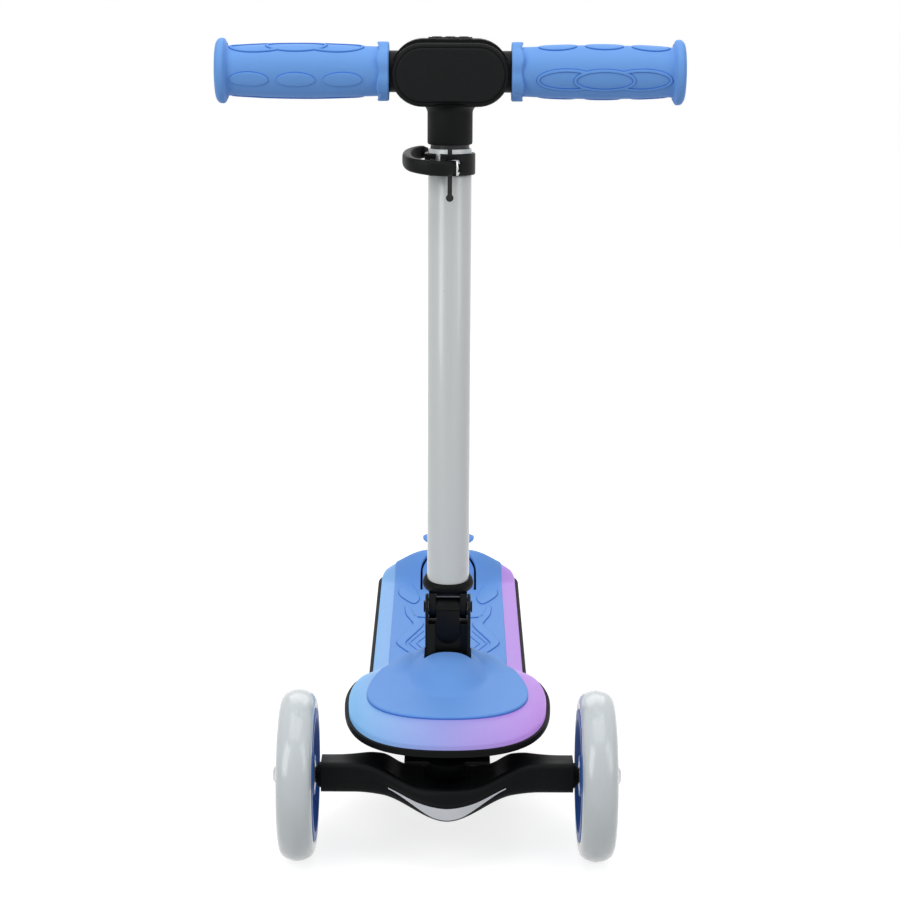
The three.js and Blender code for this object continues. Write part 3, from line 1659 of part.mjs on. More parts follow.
function hubGeometry(rimRadius, rimWidth, width, sides) {
  const wall = rimRadius * rimWallShare;
  const bossOuter = bearingRadius + hubBossWall;
  const rim = turnedX(
    [
      [rimRadius - wall, -rimWidth / 2],
      [rimRadius, -rimWidth / 2],
      [rimRadius, rimWidth / 2],
      [rimRadius - wall, rimWidth / 2],
      [rimRadius - wall * rimCrownShare, 0],
    ],
    sides,
  );
  const spokes = [];
  for (let i = 0; i < spokeCount; i += 1) {
    const turn = (i / spokeCount) * 2 * Math.PI;
    spokes.push(spokeGeometry(bossOuter, rimRadius - wall * spokeTipShare, rimRadius, width, turn));
  }
  return cut(
    join(rim, rodX(bossOuter, -width / 2, width / 2, 14), ...spokes),
    rodX(bearingRadius + seatGap, width / 2 - bearingWidth - seatGap, width / 2 + overrun, 14),
    rodX(bearingRadius + seatGap, -width / 2 - overrun, -width / 2 + bearingWidth + seatGap, 14),
    rodX(bearingRadius - hubBoreStep, -width, width, 10),
  );
}

const bearingGeometry = (x0) =>
  turnedX(
    [
      [bearingBore, x0],
      [bearingRadius, x0],
      [bearingRadius, x0 + bearingWidth],
      [bearingBore, x0 + bearingWidth],
    ],
    10,
  );

const spacerRadius = 6;
const spacerFlange = 3;
const spacerStepShare = 0.55;
const axleHeadRadius = 6.8;
const axleHeadEdge = 2;
const axleHeadCrown = 2;
const axleHeadFace = 4.2;
const frontTyreDepth = 13.5;
const frontHubRadius = frontWheelRadius - frontTyreDepth;
for (const side of [1, -1]) {
  const label = side > 0 ? "right" : "left";
  const wheel = new THREE.Group();
  wheel.position.set((side * frontTrack) / 2, 0, axleHeight);
  truck.add(wheel);
  const outward = (geometry) => (side > 0 ? geometry : geometry.rotateZ(Math.PI));
  const put = (name, geometry, look) => piece(name + "_" + label, outward(geometry), look, wheel);
  put(
    "front_tyre",
    tyreGeometry(frontWheelRadius, frontHubRadius + seatGap, frontTyreWidth, 28),
    tyreWhite,
  );
  put("front_hub", hubGeometry(frontHubRadius, frontTyreWidth + 2 * rimOverhang, hubWidth, 28), blueHub);
  put("front_bearing_inner", bearingGeometry(-hubWidth / 2), steel);
  put("front_bearing_outer", bearingGeometry(hubWidth / 2 - bearingWidth), steel);
  const beamFace = -wheelStandOff;
  const headFace = hubWidth / 2 + seatGap;
  const spacerStepAt = mix(beamFace, -hubWidth / 2, spacerStepShare);
  put(
    "axle_spacer",
    turnedX(
      [
        [bearingBore, beamFace + seatGap],
        [spacerRadius + spacerFlange, beamFace + seatGap],
        [spacerRadius + spacerFlange, spacerStepAt],
        [spacerRadius, spacerStepAt],
        [spacerRadius, -hubWidth / 2 - seatGap],
        [bearingBore, -hubWidth / 2 - seatGap],
      ],
      10,
    ),
    blackPlastic,
  );
  put(
    "front_axle",
    turnedX(
      [
        [0, beamFace - axleEmbed + seatGap],
        [axleBoltRadius, beamFace - axleEmbed + seatGap],
        [axleBoltRadius, headFace],
        [axleHeadRadius, headFace],
        [axleHeadRadius, headFace + axleHeadEdge],
        [axleHeadFace, headFace + axleHeadEdge + axleHeadCrown],
        [0, headFace + axleHeadEdge + axleHeadCrown],
      ],
      14,
    ),
    steel,
  );
}

const rearWheel = new THREE.Group();
rearWheel.position.set(0, wheelbase, rearAxleHeight);
chassis.add(rearWheel);
const rearTyreDepth = 11;
const rearHubRadius = rearWheelRadius - rearTyreDepth;
const rearHubWidth = rearTyreWidth;
piece(
  "rear_tyre",
  tyreGeometry(rearWheelRadius, rearHubRadius + seatGap, rearTyreWidth, 20),
  tyreWhite,
  rearWheel,
);
piece("rear_hub", hubGeometry(rearHubRadius, rearTyreWidth, rearHubWidth, 20), blueHub, rearWheel);
piece("rear_bearing_left", bearingGeometry(-rearHubWidth / 2), steel, rearWheel);
piece("rear_bearing_right", bearingGeometry(rearHubWidth / 2 - bearingWidth), steel, rearWheel);
const rearAxleFace = rearAxleHalfLength + seatGap;
const rearAxle = turnedX(
  [
    [0, -rearAxleFace - rearAxleHeadWidth],
    [rearAxleHeadRadius, -rearAxleFace - rearAxleHeadWidth],
    [rearAxleHeadRadius, -rearAxleFace],
    [rearAxleRadius, -rearAxleFace],
    [rearAxleRadius, rearAxleFace],
    [rearAxleHeadRadius, rearAxleFace],
    [rearAxleHeadRadius, rearAxleFace + rearAxleHeadWidth],
    [0, rearAxleFace + rearAxleHeadWidth],
  ],
  14,
);
piece("rear_axle", atRearAxle(rearAxle), steel, chassis);

// Brake.

const pedalTipHalfWidth = 22.4;
const pedalThickness = 3.4;
const pedalCrown = 1.2;
const pedalStations = 14;
const pedalWaistShares = [0.2, 0.6];
const pedalFlareShares = [0.72, 0.93];
const pedalEndShares = [0.93, 1];
const pedalTipDrawShare = 1.1;
const pedalCrownShares = [0.5, 0.2];
const pedalFootRise = 4; // above the hinge
const pedalTipRise = 43; // above the deck's lip
const pedalTipLag = 10; // behind the rear axle
const pedalFoot = [humpFootAt, brakeHingeHeight + pedalFootRise];
const pedalTip = [wheelbase + pedalTipLag, deckRimHeight + pedalTipRise];
// Points between the foot and the tip, as shares of the run and of the rise.
const pedalCourseShares = [
  [0, 0],
  [0.1, 0.125],
  [0.26, 0.32],
  [0.37, 0.52],
  [0.5, 0.74],
  [0.67, 0.875],
  [0.85, 0.955],
  [1, 1],
];
const pedalPath = new THREE.CatmullRomCurve3(
  pedalCourseShares.map(([run, rise]) => {
    const y = mix(pedalFoot[0], pedalTip[0], run);
    return new THREE.Vector3(0, y, mix(pedalFoot[1], pedalTip[1], rise));
  }),
);
const pedalRings = [];
for (let i = 0; i <= pedalStations; i += 1) {
  const share = i / pedalStations;
  const at = pedalPath.getPoint(share);
  const along = pedalPath.getTangent(share);
  const up = new THREE.Vector3(0, -along.z, along.y);
  const waist = smooth(share, ...pedalWaistShares);
  const tip = smooth(share, ...pedalFlareShares) - pedalTipDrawShare * smooth(share, ...pedalEndShares);
  const half = mix(mix(pedalFrontHalfWidth, pedalWaistHalfWidth, waist), pedalTipHalfWidth, tip);
  pedalRings.push(
    [
      [-1, -pedalCrown],
      [-pedalCrownShares[0], -pedalCrown * pedalCrownShares[1]],
      [0, 0],
      [pedalCrownShares[0], -pedalCrown * pedalCrownShares[1]],
      [1, -pedalCrown],
      [1, -pedalThickness],
      [-1, -pedalThickness],
    ].map(([across, lift]) =>
      at
        .clone()
        .add(new THREE.Vector3(across * half, 0, 0))
        .addScaledVector(up, lift),
    ),
  );
}
const knuckleRadius = 4.4;
const knuckleHalfWidth = 20;
const knuckleBack = 6;
const shoeClearance = 5;
const swingClearance = 3;
const shoeHalfWidth = 9;
const shoeLead = 12; // ahead of the rear axle
const shoeLag = 4; // behind it
const shoeTopDrop = 9; // below the pedal's tip
const shoeFrontAt = wheelbase - shoeLead;
const shoeRearAt = wheelbase + shoeLag;
const shoeTop = pedalTip[1] - shoeTopDrop;
const atBrakeHinge = (geometry) => geometry.translate(0, brakeHingeAt, brakeHingeHeight);
const wheelSweep = (clearance) =>
  atRearAxle(rodX(rearWheelRadius + clearance, -deckHalfWidth, deckHalfWidth, 32));
const shoe = cut(
  block(-shoeHalfWidth, shoeHalfWidth, shoeFrontAt, shoeRearAt, rearAxleHeight, shoeTop),
  wheelSweep(shoeClearance),
);
const pedal = cut(
  join(
    loft(pedalRings),
    atBrakeHinge(rodX(knuckleRadius, -knuckleHalfWidth, knuckleHalfWidth, 16)),
    atBrakeHinge(
      block(-knuckleHalfWidth, knuckleHalfWidth, 0, knuckleBack, 0, knuckleRadius + knuckleRadius / 2),
    ),
    shoe,
  ),
  wheelSweep(swingClearance),
  atBrakeHinge(rodX(brakePinRadius + seatGap, -brakePinHalfLength, brakePinHalfLength, 12)),
);
piece("brake_pedal", pedal, bluePad, chassis);
piece(
  "brake_pin",
  atBrakeHinge(rodX(brakePinRadius, -brakePinHalfLength + seatGap, brakePinHalfLength - seatGap, 12)),
  steel,
  chassis,
);

export default scooter;
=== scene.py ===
import math

import bmesh
import bpy
import numpy as np
from mathutils import Matrix, Vector
from mathutils.kdtree import KDTree


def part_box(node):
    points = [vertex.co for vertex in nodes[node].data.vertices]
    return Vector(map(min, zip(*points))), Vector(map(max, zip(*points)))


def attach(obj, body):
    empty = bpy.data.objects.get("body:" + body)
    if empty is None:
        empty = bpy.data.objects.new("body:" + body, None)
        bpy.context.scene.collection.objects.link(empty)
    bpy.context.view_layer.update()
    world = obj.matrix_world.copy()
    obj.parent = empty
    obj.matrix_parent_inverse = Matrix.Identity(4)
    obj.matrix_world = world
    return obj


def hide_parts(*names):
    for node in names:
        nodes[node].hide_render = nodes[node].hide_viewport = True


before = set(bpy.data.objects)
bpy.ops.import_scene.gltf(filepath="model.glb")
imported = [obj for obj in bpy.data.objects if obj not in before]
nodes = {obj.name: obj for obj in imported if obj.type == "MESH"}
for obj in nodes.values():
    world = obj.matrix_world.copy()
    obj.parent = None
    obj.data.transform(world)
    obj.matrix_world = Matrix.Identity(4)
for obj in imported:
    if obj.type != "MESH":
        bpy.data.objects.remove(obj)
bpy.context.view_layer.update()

# DECK SHELL
# One black moulded tray from nose to tail. Its lip shows as a thin dark line round the lit band,
# and its underside has the wheel well, ribbed pockets and the seat of the battery door.
front_axle = sum(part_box("front_axle_left"), Vector()) / 2


def row(points):
    """Millimetres behind the front axle become metres in the scooter's own frame."""
    return np.asarray(points, float) / 1000 + np.array([0, front_axle.y, 0])


def bend(a, b, c, d, count):
    t = np.linspace(0, 1, count + 1)[:, None]
    a, b, c, d = (np.array(p, float) for p in (a, b, c, d))
    return (1 - t) ** 3 * a + 3 * (1 - t) ** 2 * t * b + 3 * (1 - t) * t * t * c + t**3 * d


def straight(a, b, count):
    t = np.linspace(0, 1, count + 1)[:, None]
    return (1 - t) * np.array(a, float) + t * np.array(b, float)


def mix(a, b, t):
    return a + (b - a) * t


def smooth(value, low, high):
    t = np.clip((np.asarray(value, float) - low) / (high - low), 0, 1)
    return t * t * (3 - 2 * t)


def fade(value, low, high):
    """From one down to nothing between two values."""
    return float(1 - smooth(value, low, high))


def closed(runs):
    """Half an outline, run by run from tip to tail on the right, mirrored to a closed one."""
    half = np.vstack([runs[0]] + [run[1:] for run in runs[1:]])
    mirror = half[1:-1][::-1] * np.array([-1, 1])
    return np.vstack([half, mirror])


def inset(outline, distance):
    along = np.roll(outline, -1, 0) - np.roll(outline, 1, 0)
    along /= np.linalg.norm(along, axis=1, keepdims=True)
    moved = outline + distance * np.c_[-along[:, 1], along[:, 0]]
    moved[np.abs(outline[:, 0]) < 1e-6, 0] = 0
    return moved


def lift(outline, level):
    z = level(outline[:, 0], outline[:, 1]) * np.ones(len(outline))
    return np.c_[outline, z]


def shade(mesh, degrees=None):
    """Smooth faces, with a crease where they meet at more than the given angle."""
    bm = bmesh.new()
    bm.from_mesh(mesh)
    for face in bm.faces:
        face.smooth = True
    if degrees:
        for edge in bm.edges:
            if len(edge.link_faces) == 2 and edge.calc_face_angle(0) > math.radians(degrees):
                edge.smooth = False
    bm.to_mesh(mesh)
    bm.free()


def new_object(name, data):
    piece = bpy.data.objects.new(name, data)
    bpy.context.scene.collection.objects.link(piece)
    return piece


def solid(name, points, faces, crease=35):
    mesh = bpy.data.meshes.new(name)
    mesh.from_pydata([tuple(p) for p in points], [], faces)
    bm = bmesh.new()
    bm.from_mesh(mesh)
    bmesh.ops.remove_doubles(bm, verts=bm.verts, dist=1e-6)
    bmesh.ops.dissolve_degenerate(bm, dist=1e-6, edges=bm.edges)
    bmesh.ops.recalc_face_normals(bm, faces=bm.faces)
    if bm.calc_volume(signed=True) < 0:
        bmesh.ops.reverse_faces(bm, faces=bm.faces)
    bm.to_mesh(mesh)
    bm.free()
    shade(mesh, crease)
    return new_object(name, mesh)


def ring_faces(count, rings, looped=False):
    faces = []
    for k in range(rings if looped else rings - 1):
        low, high = k * count, (k + 1) % rings * count
        for i in range(count):
            j = (i + 1) % count
            faces.append((low + i, low + j, high + j, high + i))
    return faces


def skin(name, rings, looped=False, crease=35):
    """A surface over a stack of rings with equal point counts, in metres."""
    return solid(name, np.vstack(rings), ring_faces(len(rings[0]), len(rings), looped), crease)


def row_skin(name, rings, looped=False, crease=35):
    """The same, with the rings in millimetres behind the front axle."""
    return skin(name, [row(ring) for ring in rings], looped, crease)


def capped(rings):
    """The stack with both ends drawn in to their middles."""
    first, last = (np.tile(np.mean(ring, axis=0), (len(ring), 1)) for ring in (rings[0], rings[-1]))
    return [first, *rings, last]


def flat_ended(name, rings, crease=35):
    """A stack of rings with a flat face at each end."""
    count, total = len(rings[0]), len(rings) * len(rings[0])
    ends = [tuple(range(count))[::-1], tuple(range(total - count, total))]
    return solid(name, np.vstack(rings), ring_faces(count, len(rings)) + ends, crease)


def box_points(x0, x1, y0, y1, z0, z1):
    return [(x, y, z) for z in (z0, z1) for y in (y0, y1) for x in (x0, x1)]


box_faces = [(0, 2, 3, 1), (4, 5, 7, 6), (0, 1, 5, 4), (2, 6, 7, 3), (0, 4, 6, 2), (1, 3, 7, 5)]


def block(*limits):
    """A cutting box, from and to in x, y and z, in millimetres behind the front axle."""
    return solid("cutter", row(box_points(*limits)), box_faces)


def around(count):
    return np.linspace(0, math.tau, count, endpoint=False)


def cross_rod(radius, x0, x1, y, z, sides=48):
    return flat_ended("cutter", [
        row([(x, y + radius * math.cos(t), z + radius * math.sin(t)) for t in around(sides)])
        for x in (x0, x1)
    ])


def carve(piece, cutters, operation="DIFFERENCE", crease=35):
    """Cuts with real solids and keeps only the finished mesh."""
    for cutter in cutters:
        step = piece.modifiers.new("cut", "BOOLEAN")
        step.operation = operation
        step.solver = "EXACT"
        step.object = cutter
    mesh = bpy.data.meshes.new_from_object(
        piece.evaluated_get(bpy.context.evaluated_depsgraph_get())
    )
    piece.modifiers.clear()
    piece.data = mesh
    for cutter in cutters:
        bpy.data.objects.remove(cutter)
    shade(mesh, crease)
    return piece


nose_tip, nose_widest, waist, seam, pad_wide = -27, 68, 150, 172, 214
hump_foot, rear_corner, tail = 384, 424, 452
nose_half, deck_half, tail_half = 74.8, 62, 38


def rear_runs(half, corner_half, end):
    """An outline's right side from the pad's widest place, round the rear corner to the middle."""
    return [
        straight((half, pad_wide), (half, hump_foot), 24),
        straight((half, hump_foot), (half, rear_corner), 18),
        bend((half, rear_corner), (half, mix(rear_corner, end, 0.6)),
             (mix(corner_half, half, 0.5), end), (corner_half, end), 26),
        straight((corner_half, end), (0, end), 10),
    ]


rim_outline = closed([
    bend((0, nose_tip), (nose_half * 0.64, nose_tip),
         (nose_half, mix(nose_tip, nose_widest, 0.24)), (nose_half, nose_widest), 44),
    bend((nose_half, nose_widest), (nose_half, mix(nose_widest, waist, 0.45)),
         (deck_half, mix(nose_widest, waist, 0.54)), (deck_half, waist), 32),
    straight((deck_half, waist), (deck_half, seam), 10),
    straight((deck_half, seam), (deck_half, pad_wide), 18),
    *rear_runs(deck_half, tail_half, tail),
])
pad_tip, pad_widest, pad_neck = 9, 58, 150
pad_half, neck_half, seam_half, deck_pad_half = 58.6, 37.5, 42, 47
pad_tail, pad_tail_half = tail - 9, tail_half - 4.5
pad_outline = closed([
    bend((0, pad_tip), (pad_half * 0.6, pad_tip),
         (pad_half, mix(pad_tip, pad_widest, 0.3)), (pad_half, pad_widest), 44),
    bend((pad_half, pad_widest), (pad_half, mix(pad_widest, pad_neck, 0.35)),
         (mix(neck_half, pad_half, 0.36), mix(pad_widest, pad_neck, 0.6)), (neck_half, pad_neck), 32),
    straight((neck_half, pad_neck), (seam_half, seam), 10),
    bend((seam_half, seam), (seam_half, mix(seam, pad_wide, 0.4)),
         (deck_pad_half, mix(seam, pad_wide, 0.6)), (deck_pad_half, pad_wide), 18),
    *rear_runs(deck_pad_half, pad_tail_half, pad_tail),
])


def fall(y):
    return smooth(y, 100, 205)


def rim_level(x, y):
    return mix(89, 62, fall(y))


def below_rim(drop):
    return lambda x, y: rim_level(x, y) - drop


def crown_level(x, y):
    return rim_level(x, y) + mix(8.5, 4, fall(y))


def floor_level(x, y):
    return rim_level(x, y) - mix(15, 22, fall(y))


def spine(outline, first, last):
    return np.c_[np.zeros(len(outline)), np.clip(outline[:, 1], first, last)]


platform = inset(pad_outline, 5.5)
shell_spine = spine(rim_outline, nose_tip + 45, tail - 45)
shell_rings = [lift(shell_spine, floor_level)]
# Under the nose the tray is shallow at the edge and deeper in the middle; farther back it is deep.
for nose, deck in (((34, 0), (17, 0)), ((31.5, 0.5), (13.6, 0.5)), ((30, 3), (11.6, 2)),
                   ((29, 7), (10.4, 4.6)), ((13, 8), (8, 8)), ((10.5, 8.6), (6, 11))):
    share = fall(rim_outline[:, 1])
    shell_rings.append(lift(inset(rim_outline, mix(nose[0], deck[0], share)[:, None]),
                            lambda x, y: floor_level(x, y) + mix(nose[1], deck[1], fall(y))))
for tuck, drop in ((3, 5.2), (1.2, 5.2), (0.35, 4.7), (0, 3.9), (0, 0.7), (0.25, 0.18), (0.7, 0),
                   (2, 0), (2.45, 0.2), (2.6, 0.6), (2.6, 2.3)):
    shell_rings.append(lift(inset(rim_outline, tuck), below_rim(drop)))
shell_rings += [lift(platform, below_rim(2.3)), lift(platform, crown_level),
                lift(shell_spine, crown_level)]
deck_shell = row_skin("deck_shell", shell_rings)

wheel_y, wheel_z = 428, 40
pin_y, pin_z, pin_bore = 380, 57, 2.3
pedal_slot_side = [(24.4, 387), (24.4, 402.5), (24, 404.5), (22.6, 406.6), (20.2, 408.4),
                   (18.2, 409.6), (17.5, 411), (17.5, 454)]


def pedal_slot():
    side = np.array(pedal_slot_side)
    plan = np.vstack([side, side[::-1] * np.array([-1, 1])])
    return flat_ended("cutter", [row(np.c_[plan, np.full(len(plan), z)]) for z in (48, 150)])


pocket_top = 56
shell_cuts = [
    block(-16, 16, 382, 454, 0, 97.5),  # the wheel well
    block(-22.5, 22.5, 374, 400, 44, 97.5),  # the pedal's bay
    block(-26, 26, 262, 330, 0, pocket_top),  # the battery's bay
    block(-30, 30, 258, 334, 0, 42),  # the seat of its door
    block(-26, 26, 196, 255, 0, pocket_top),  # the pocket ahead of it
    pedal_slot(),
    cross_rod(4, -62, 62, wheel_y, wheel_z),
    cross_rod(6.6, 24, 62, wheel_y, wheel_z),
    cross_rod(6.6, -62, -24, wheel_y, wheel_z),
    cross_rod(pin_bore, -28, 28, pin_y, pin_z),
]
for step in range(3):
    for left, right in ((-46, -33), (33, 46)):
        shell_cuts.append(block(left, right, 196 + step * 52, 245 + step * 52, 0, pocket_top))
axle_pads = [cross_rod(11, x, x + 8, wheel_y, wheel_z) for x in (16, -24)]
carve(deck_shell, axle_pads, "UNION")
carve(deck_shell, shell_cuts)


def srgb(*levels):
    """Eight-bit screen levels to the linear values that a shader takes."""
    unit = [v / 255 for v in levels]
    return tuple(v / 12.92 if v <= 0.04045 else ((v + 0.055) / 1.055) ** 2.4 for v in unit) + (1,)


def new_material(name):
    material = bpy.data.materials.new(name)
    material.use_nodes = True
    tree = material.node_tree
    return material, tree, tree.nodes["Principled BSDF"]


def link(tree, source, out, target, into):
    tree.links.new(source.outputs[out], target.inputs[into])


def tune(node, values):
    for socket, value in values.items():
        node.inputs[socket].default_value = value


def add(tree, kind, values=None, **settings):
    node = tree.nodes.new("ShaderNode" + kind)
    for setting, value in settings.items():
        setattr(node, setting, value)
    tune(node, values or {})
    return node


def noise(tree, scale, detail):
    grain = add(tree, "TexNoise", {"Scale": scale, "Detail": detail, "Roughness": 0.5})
    link(tree, add(tree, "TexCoord"), "Object", grain, "Vector")
    return grain


def polish(tree, shader, scale, detail, low, high):
    """Roughness that wanders between two values."""
    spread = add(tree, "MapRange", {"To Min": low, "To Max": high})
    link(tree, noise(tree, scale, detail), "Fac", spread, "Value")
    link(tree, spread, "Result", shader, "Roughness")


def emboss(tree, shader, source, out, strength, depth):
    bump = add(tree, "Bump", {"Strength": strength, "Distance": depth})
    link(tree, source, out, bump, "Height")
    link(tree, bump, "Normal", shader, "Normal")


def moulded(name, colour, rough, grain=1400, depth=0.00004, drift=0.06, metal=0.0, strength=0.35,
            gloss=0.5, painted_shade=None):
    """Moulded or coated surface: fine grain in the normal, slow drift in colour and roughness."""
    material, tree, shader = new_material(name)
    tune(shader, {"Metallic": metal, "Specular IOR Level": gloss})
    dark, pale = (tuple(min(1, c * s) for c in colour[:3]) + (1,) for s in (1 - drift, 1 + drift))
    tone = add(tree, "Mix", {6: dark, 7: pale}, data_type="RGBA")
    link(tree, noise(tree, 34, 4), "Fac", tone, 0)
    # Where the flank-shade attribute is set, painted shade darkens the colour toward the given shade
    # colour. It is shade laid on relief flanks and on the pads' lips.
    if painted_shade:
        shade_mask = add(tree, "Attribute", attribute_name="flank")
        flank = add(tree, "Mix", {7: painted_shade}, data_type="RGBA")
        link(tree, shade_mask, "Fac", flank, 0)
        link(tree, tone, 2, flank, 6)
        tone = flank
    link(tree, tone, 2, shader, "Base Color")
    polish(tree, shader, 90, 5, rough - 0.06, rough + 0.08)
    emboss(tree, shader, noise(tree, grain, 2), "Fac", strength, depth)
    return material


black_moulding = moulded("grained_black_moulding", srgb(9, 10, 11), 0.55, 1700, 0.00006, gloss=0.1)


def coat(piece, material):
    piece.data.materials.clear()
    piece.data.materials.append(material)


def dress(piece, material, body, slot, replaces=()):
    coat(piece, material)
    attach(piece, body)
    if replaces:
        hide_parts(*replaces)


dress(deck_shell, black_moulding, "deck", "black_plastic", ["deck_tray"])


def round_edges(piece, width, angle):
    edge = piece.modifiers.new("edge", "BEVEL")
    edge.width = width
    edge.segments = 3
    edge.limit_method = "ANGLE"
    edge.angle_limit = math.radians(angle)
    edge.harden_normals = True


def finish_node(name, material, bevel=0.0004):
    """A CAD piece keeps its shape; its edges get the small radius that the real one has."""
    piece = nodes[name]
    coat(piece, material)
    for face in piece.data.polygons:
        face.use_smooth = True
        face.material_index = 0
    weld = piece.modifiers.new("weld", "WELD")
    weld.merge_threshold = 2e-6
    round_edges(piece, bevel, 32)


finish_node("battery_door", black_moulding)

# LIT BAND
# A milky plastic band between the lip and the pads, lit from inside by a strip of lamps:
# sky blue on the left, lavender at the middle of the nose and violet on the right.
band_gap, band_wall = 2.9, 2.5
hump_height, hump_tail_height = 27.2, 12


def hump(x, y):
    across = np.abs(x)
    drift = 22 * (across / deck_pad_half) ** 2
    rise = smooth(y - drift, hump_foot, hump_foot + 26)
    drop = 1 - (1 - hump_tail_height / hump_height) * smooth(y, 414, tail)
    sides = 1 - 0.88 * smooth(across, 17, 74)
    return hump_height * rise * drop * sides


def band_level(x, y):
    return crown_level(x, y) + hump(x, y)


def rise_of(share):
    return lambda x, y: mix(rim_level(x, y) + hump(x, y), band_level(x, y), share)


def flow(rings, per):
    """Extra rings on a smooth curve through the given ones."""
    stack = np.array(rings)
    padded = np.concatenate([2 * stack[:1] - stack[1:2], stack, 2 * stack[-1:] - stack[-2:-1]])
    out = []
    for k in range(len(stack) - 1):
        a, b, c, d = padded[k:k + 4]
        for t in np.linspace(0, 1, per, endpoint=False):
            out.append(0.5 * (2 * b + (c - a) * t + (2 * a - 5 * b + 4 * c - d) * t * t
                              + (3 * b - a - 3 * c + d) * t**3))
    out.append(stack[-1])
    return out


band_outer = inset(rim_outline, band_gap)
band_shoulder = inset(rim_outline, band_gap + band_wall / 2)
band_inner = inset(pad_outline, band_wall)
top_rings = flow([
    lift(band_outer, rise_of(0.16)),
    lift(band_shoulder, rise_of(0.42)),
    lift(mix(band_shoulder, band_inner, 0.4), rise_of(0.76)),
    lift(pad_outline, band_level),
], 6)
band_rings = [lift(band_outer, below_rim(2))] + top_rings + [
    lift(band_inner, band_level),
    lift(band_inner, lambda x, y: band_level(x, y) - band_wall),
    lift(mix(band_shoulder, band_inner, 0.45), lambda x, y: rise_of(0.7)(x, y) - band_wall),
    lift(inset(rim_outline, band_gap + band_wall), below_rim(2)),
]
lit_band = row_skin("lit_band", band_rings, looped=True, crease=60)
carve(lit_band, [pedal_slot()], crease=60)

glow, tree, shader = new_material("lit_milky_plastic")
place = add(tree, "TexCoord")
axes = add(tree, "SeparateXYZ")
link(tree, place, "Object", axes, "Vector")
across = add(tree, "MapRange", {"From Min": -0.072, "From Max": 0.072})
link(tree, axes, "X", across, "Value")
sway = add(tree, "Math", {1: 0.05}, operation="MULTIPLY_ADD")
link(tree, noise(tree, 22, 2), "Fac", sway, 0)
link(tree, across, "Result", sway, 2)
ramp = add(tree, "ValToRGB")
stops = [(0.025, (128, 194, 245)), (0.2, (141, 186, 243)), (0.4, (158, 175, 241)),
         (0.52, (168, 169, 239)), (0.68, (182, 160, 237)), (0.86, (192, 152, 236)),
         (1, (200, 148, 237))]
while len(ramp.color_ramp.elements) < len(stops):
    ramp.color_ramp.elements.new(0.5)
for element, (spot, level) in zip(ramp.color_ramp.elements, stops):
    element.position = spot
    element.color = srgb(*level)
link(tree, sway, 0, ramp, "Fac")
link(tree, ramp, "Color", shader, "Emission Color")
milk = add(tree, "Mix", {0: 1, 7: (0.3, 0.31, 0.33, 1)}, data_type="RGBA", blend_type="MULTIPLY")
link(tree, ramp, "Color", milk, 6)
link(tree, milk, 2, shader, "Base Color")
tune(shader, {"Emission Strength": 0.6, "Specular IOR Level": 0.15, "Subsurface Weight": 0.25,
              "Subsurface Radius": (0.004, 0.004, 0.005)})
polish(tree, shader, 120, 4, 0.34, 0.46)
# Faint draw lines run down the band's side, as the moulding tool leaves them.
draw = add(tree, "TexWave", {"Scale": 260, "Distortion": 0.6}, bands_direction="X")
link(tree, place, "Object", draw, "Vector")
emboss(tree, shader, draw, "Fac", 0.12, 0.00005)
dress(lit_band, glow, "deck", "light_plastic", ["light_band"])

board_green = moulded("masked_board", srgb(34, 92, 60), 0.45, 900, 0.00003)
finish_node("light_strip", board_green, 0.0001)
cell_wrap = moulded("shrink_wrap", srgb(30, 31, 34), 0.6, 800, 0.00005)
finish_node("light_battery", cell_wrap, 0.001)

# FOOT PADS
# Two blue moulded pads with a soft rounded edge: the nose pad swells up round the foot of the
# bracket, and the deck pad carries a low anti-slip relief and runs up over the rear hump.
pad_edge = 1.2


def dome(x, y):
    reach = np.where(y < 104, 60, 38)
    far = np.hypot(x / 31, (y - 104) / reach)
    across = np.abs(x)
    wings = smooth(y, 92, 132) * (1 - smooth(y, 146, 180)) * (1 - smooth(across, 28, 47))
    swell = 16.5 * np.maximum(0, 1 - far**2.8)**1.6
    return np.maximum(swell, mix(14.5, 10.5, smooth(across, 18, 27)) * wings)


def pad_stand(y):
    return mix(2.6, 1, fall(y))


def pad_top(x, y):
    return band_level(x, y) + pad_stand(y) + dome(x, y)


def pad_under(x, y):
    body = hump(x, y) + dome(x, y) / 2 + pad_stand(y) - 3
    return crown_level(x, y) + 0.3 + np.maximum(0, body)


pad_spine = spine(pad_outline, pad_tip + 45, pad_tail - 15)
rebate = inset(pad_outline, band_wall + 0.6)
rounded = inset(pad_outline, pad_edge)
pad_rings = [lift(mix(pad_spine, rebate, s), pad_under) for s in np.linspace(0, 1, 9)[:-1]]
pad_rings.append(lift(inset(pad_outline, band_wall + 1.2), pad_under))
pad_rings.append(lift(rebate, lambda x, y: band_level(x, y) + 0.3))
pad_rings.append(lift(inset(pad_outline, 0.15), lambda x, y: band_level(x, y) + 0.3))
pad_rings.append(lift(pad_outline, lambda x, y: band_level(x, y) + 0.42))
for turn in np.linspace(0, math.pi / 2, 7)[:-1]:
    tuck, drop = pad_edge * (1 - math.cos(turn)), 1 - math.sin(turn)
    pad_rings.append(lift(inset(pad_outline, tuck),
                          lambda x, y: pad_top(x, y) - drop * 0.8 * (pad_stand(y) - 0.4)))
pad_rings += [lift(mix(rounded, pad_spine, s), pad_top) for s in np.linspace(0, 1, 46)]
split = mix(pad_neck, seam, 0.6)
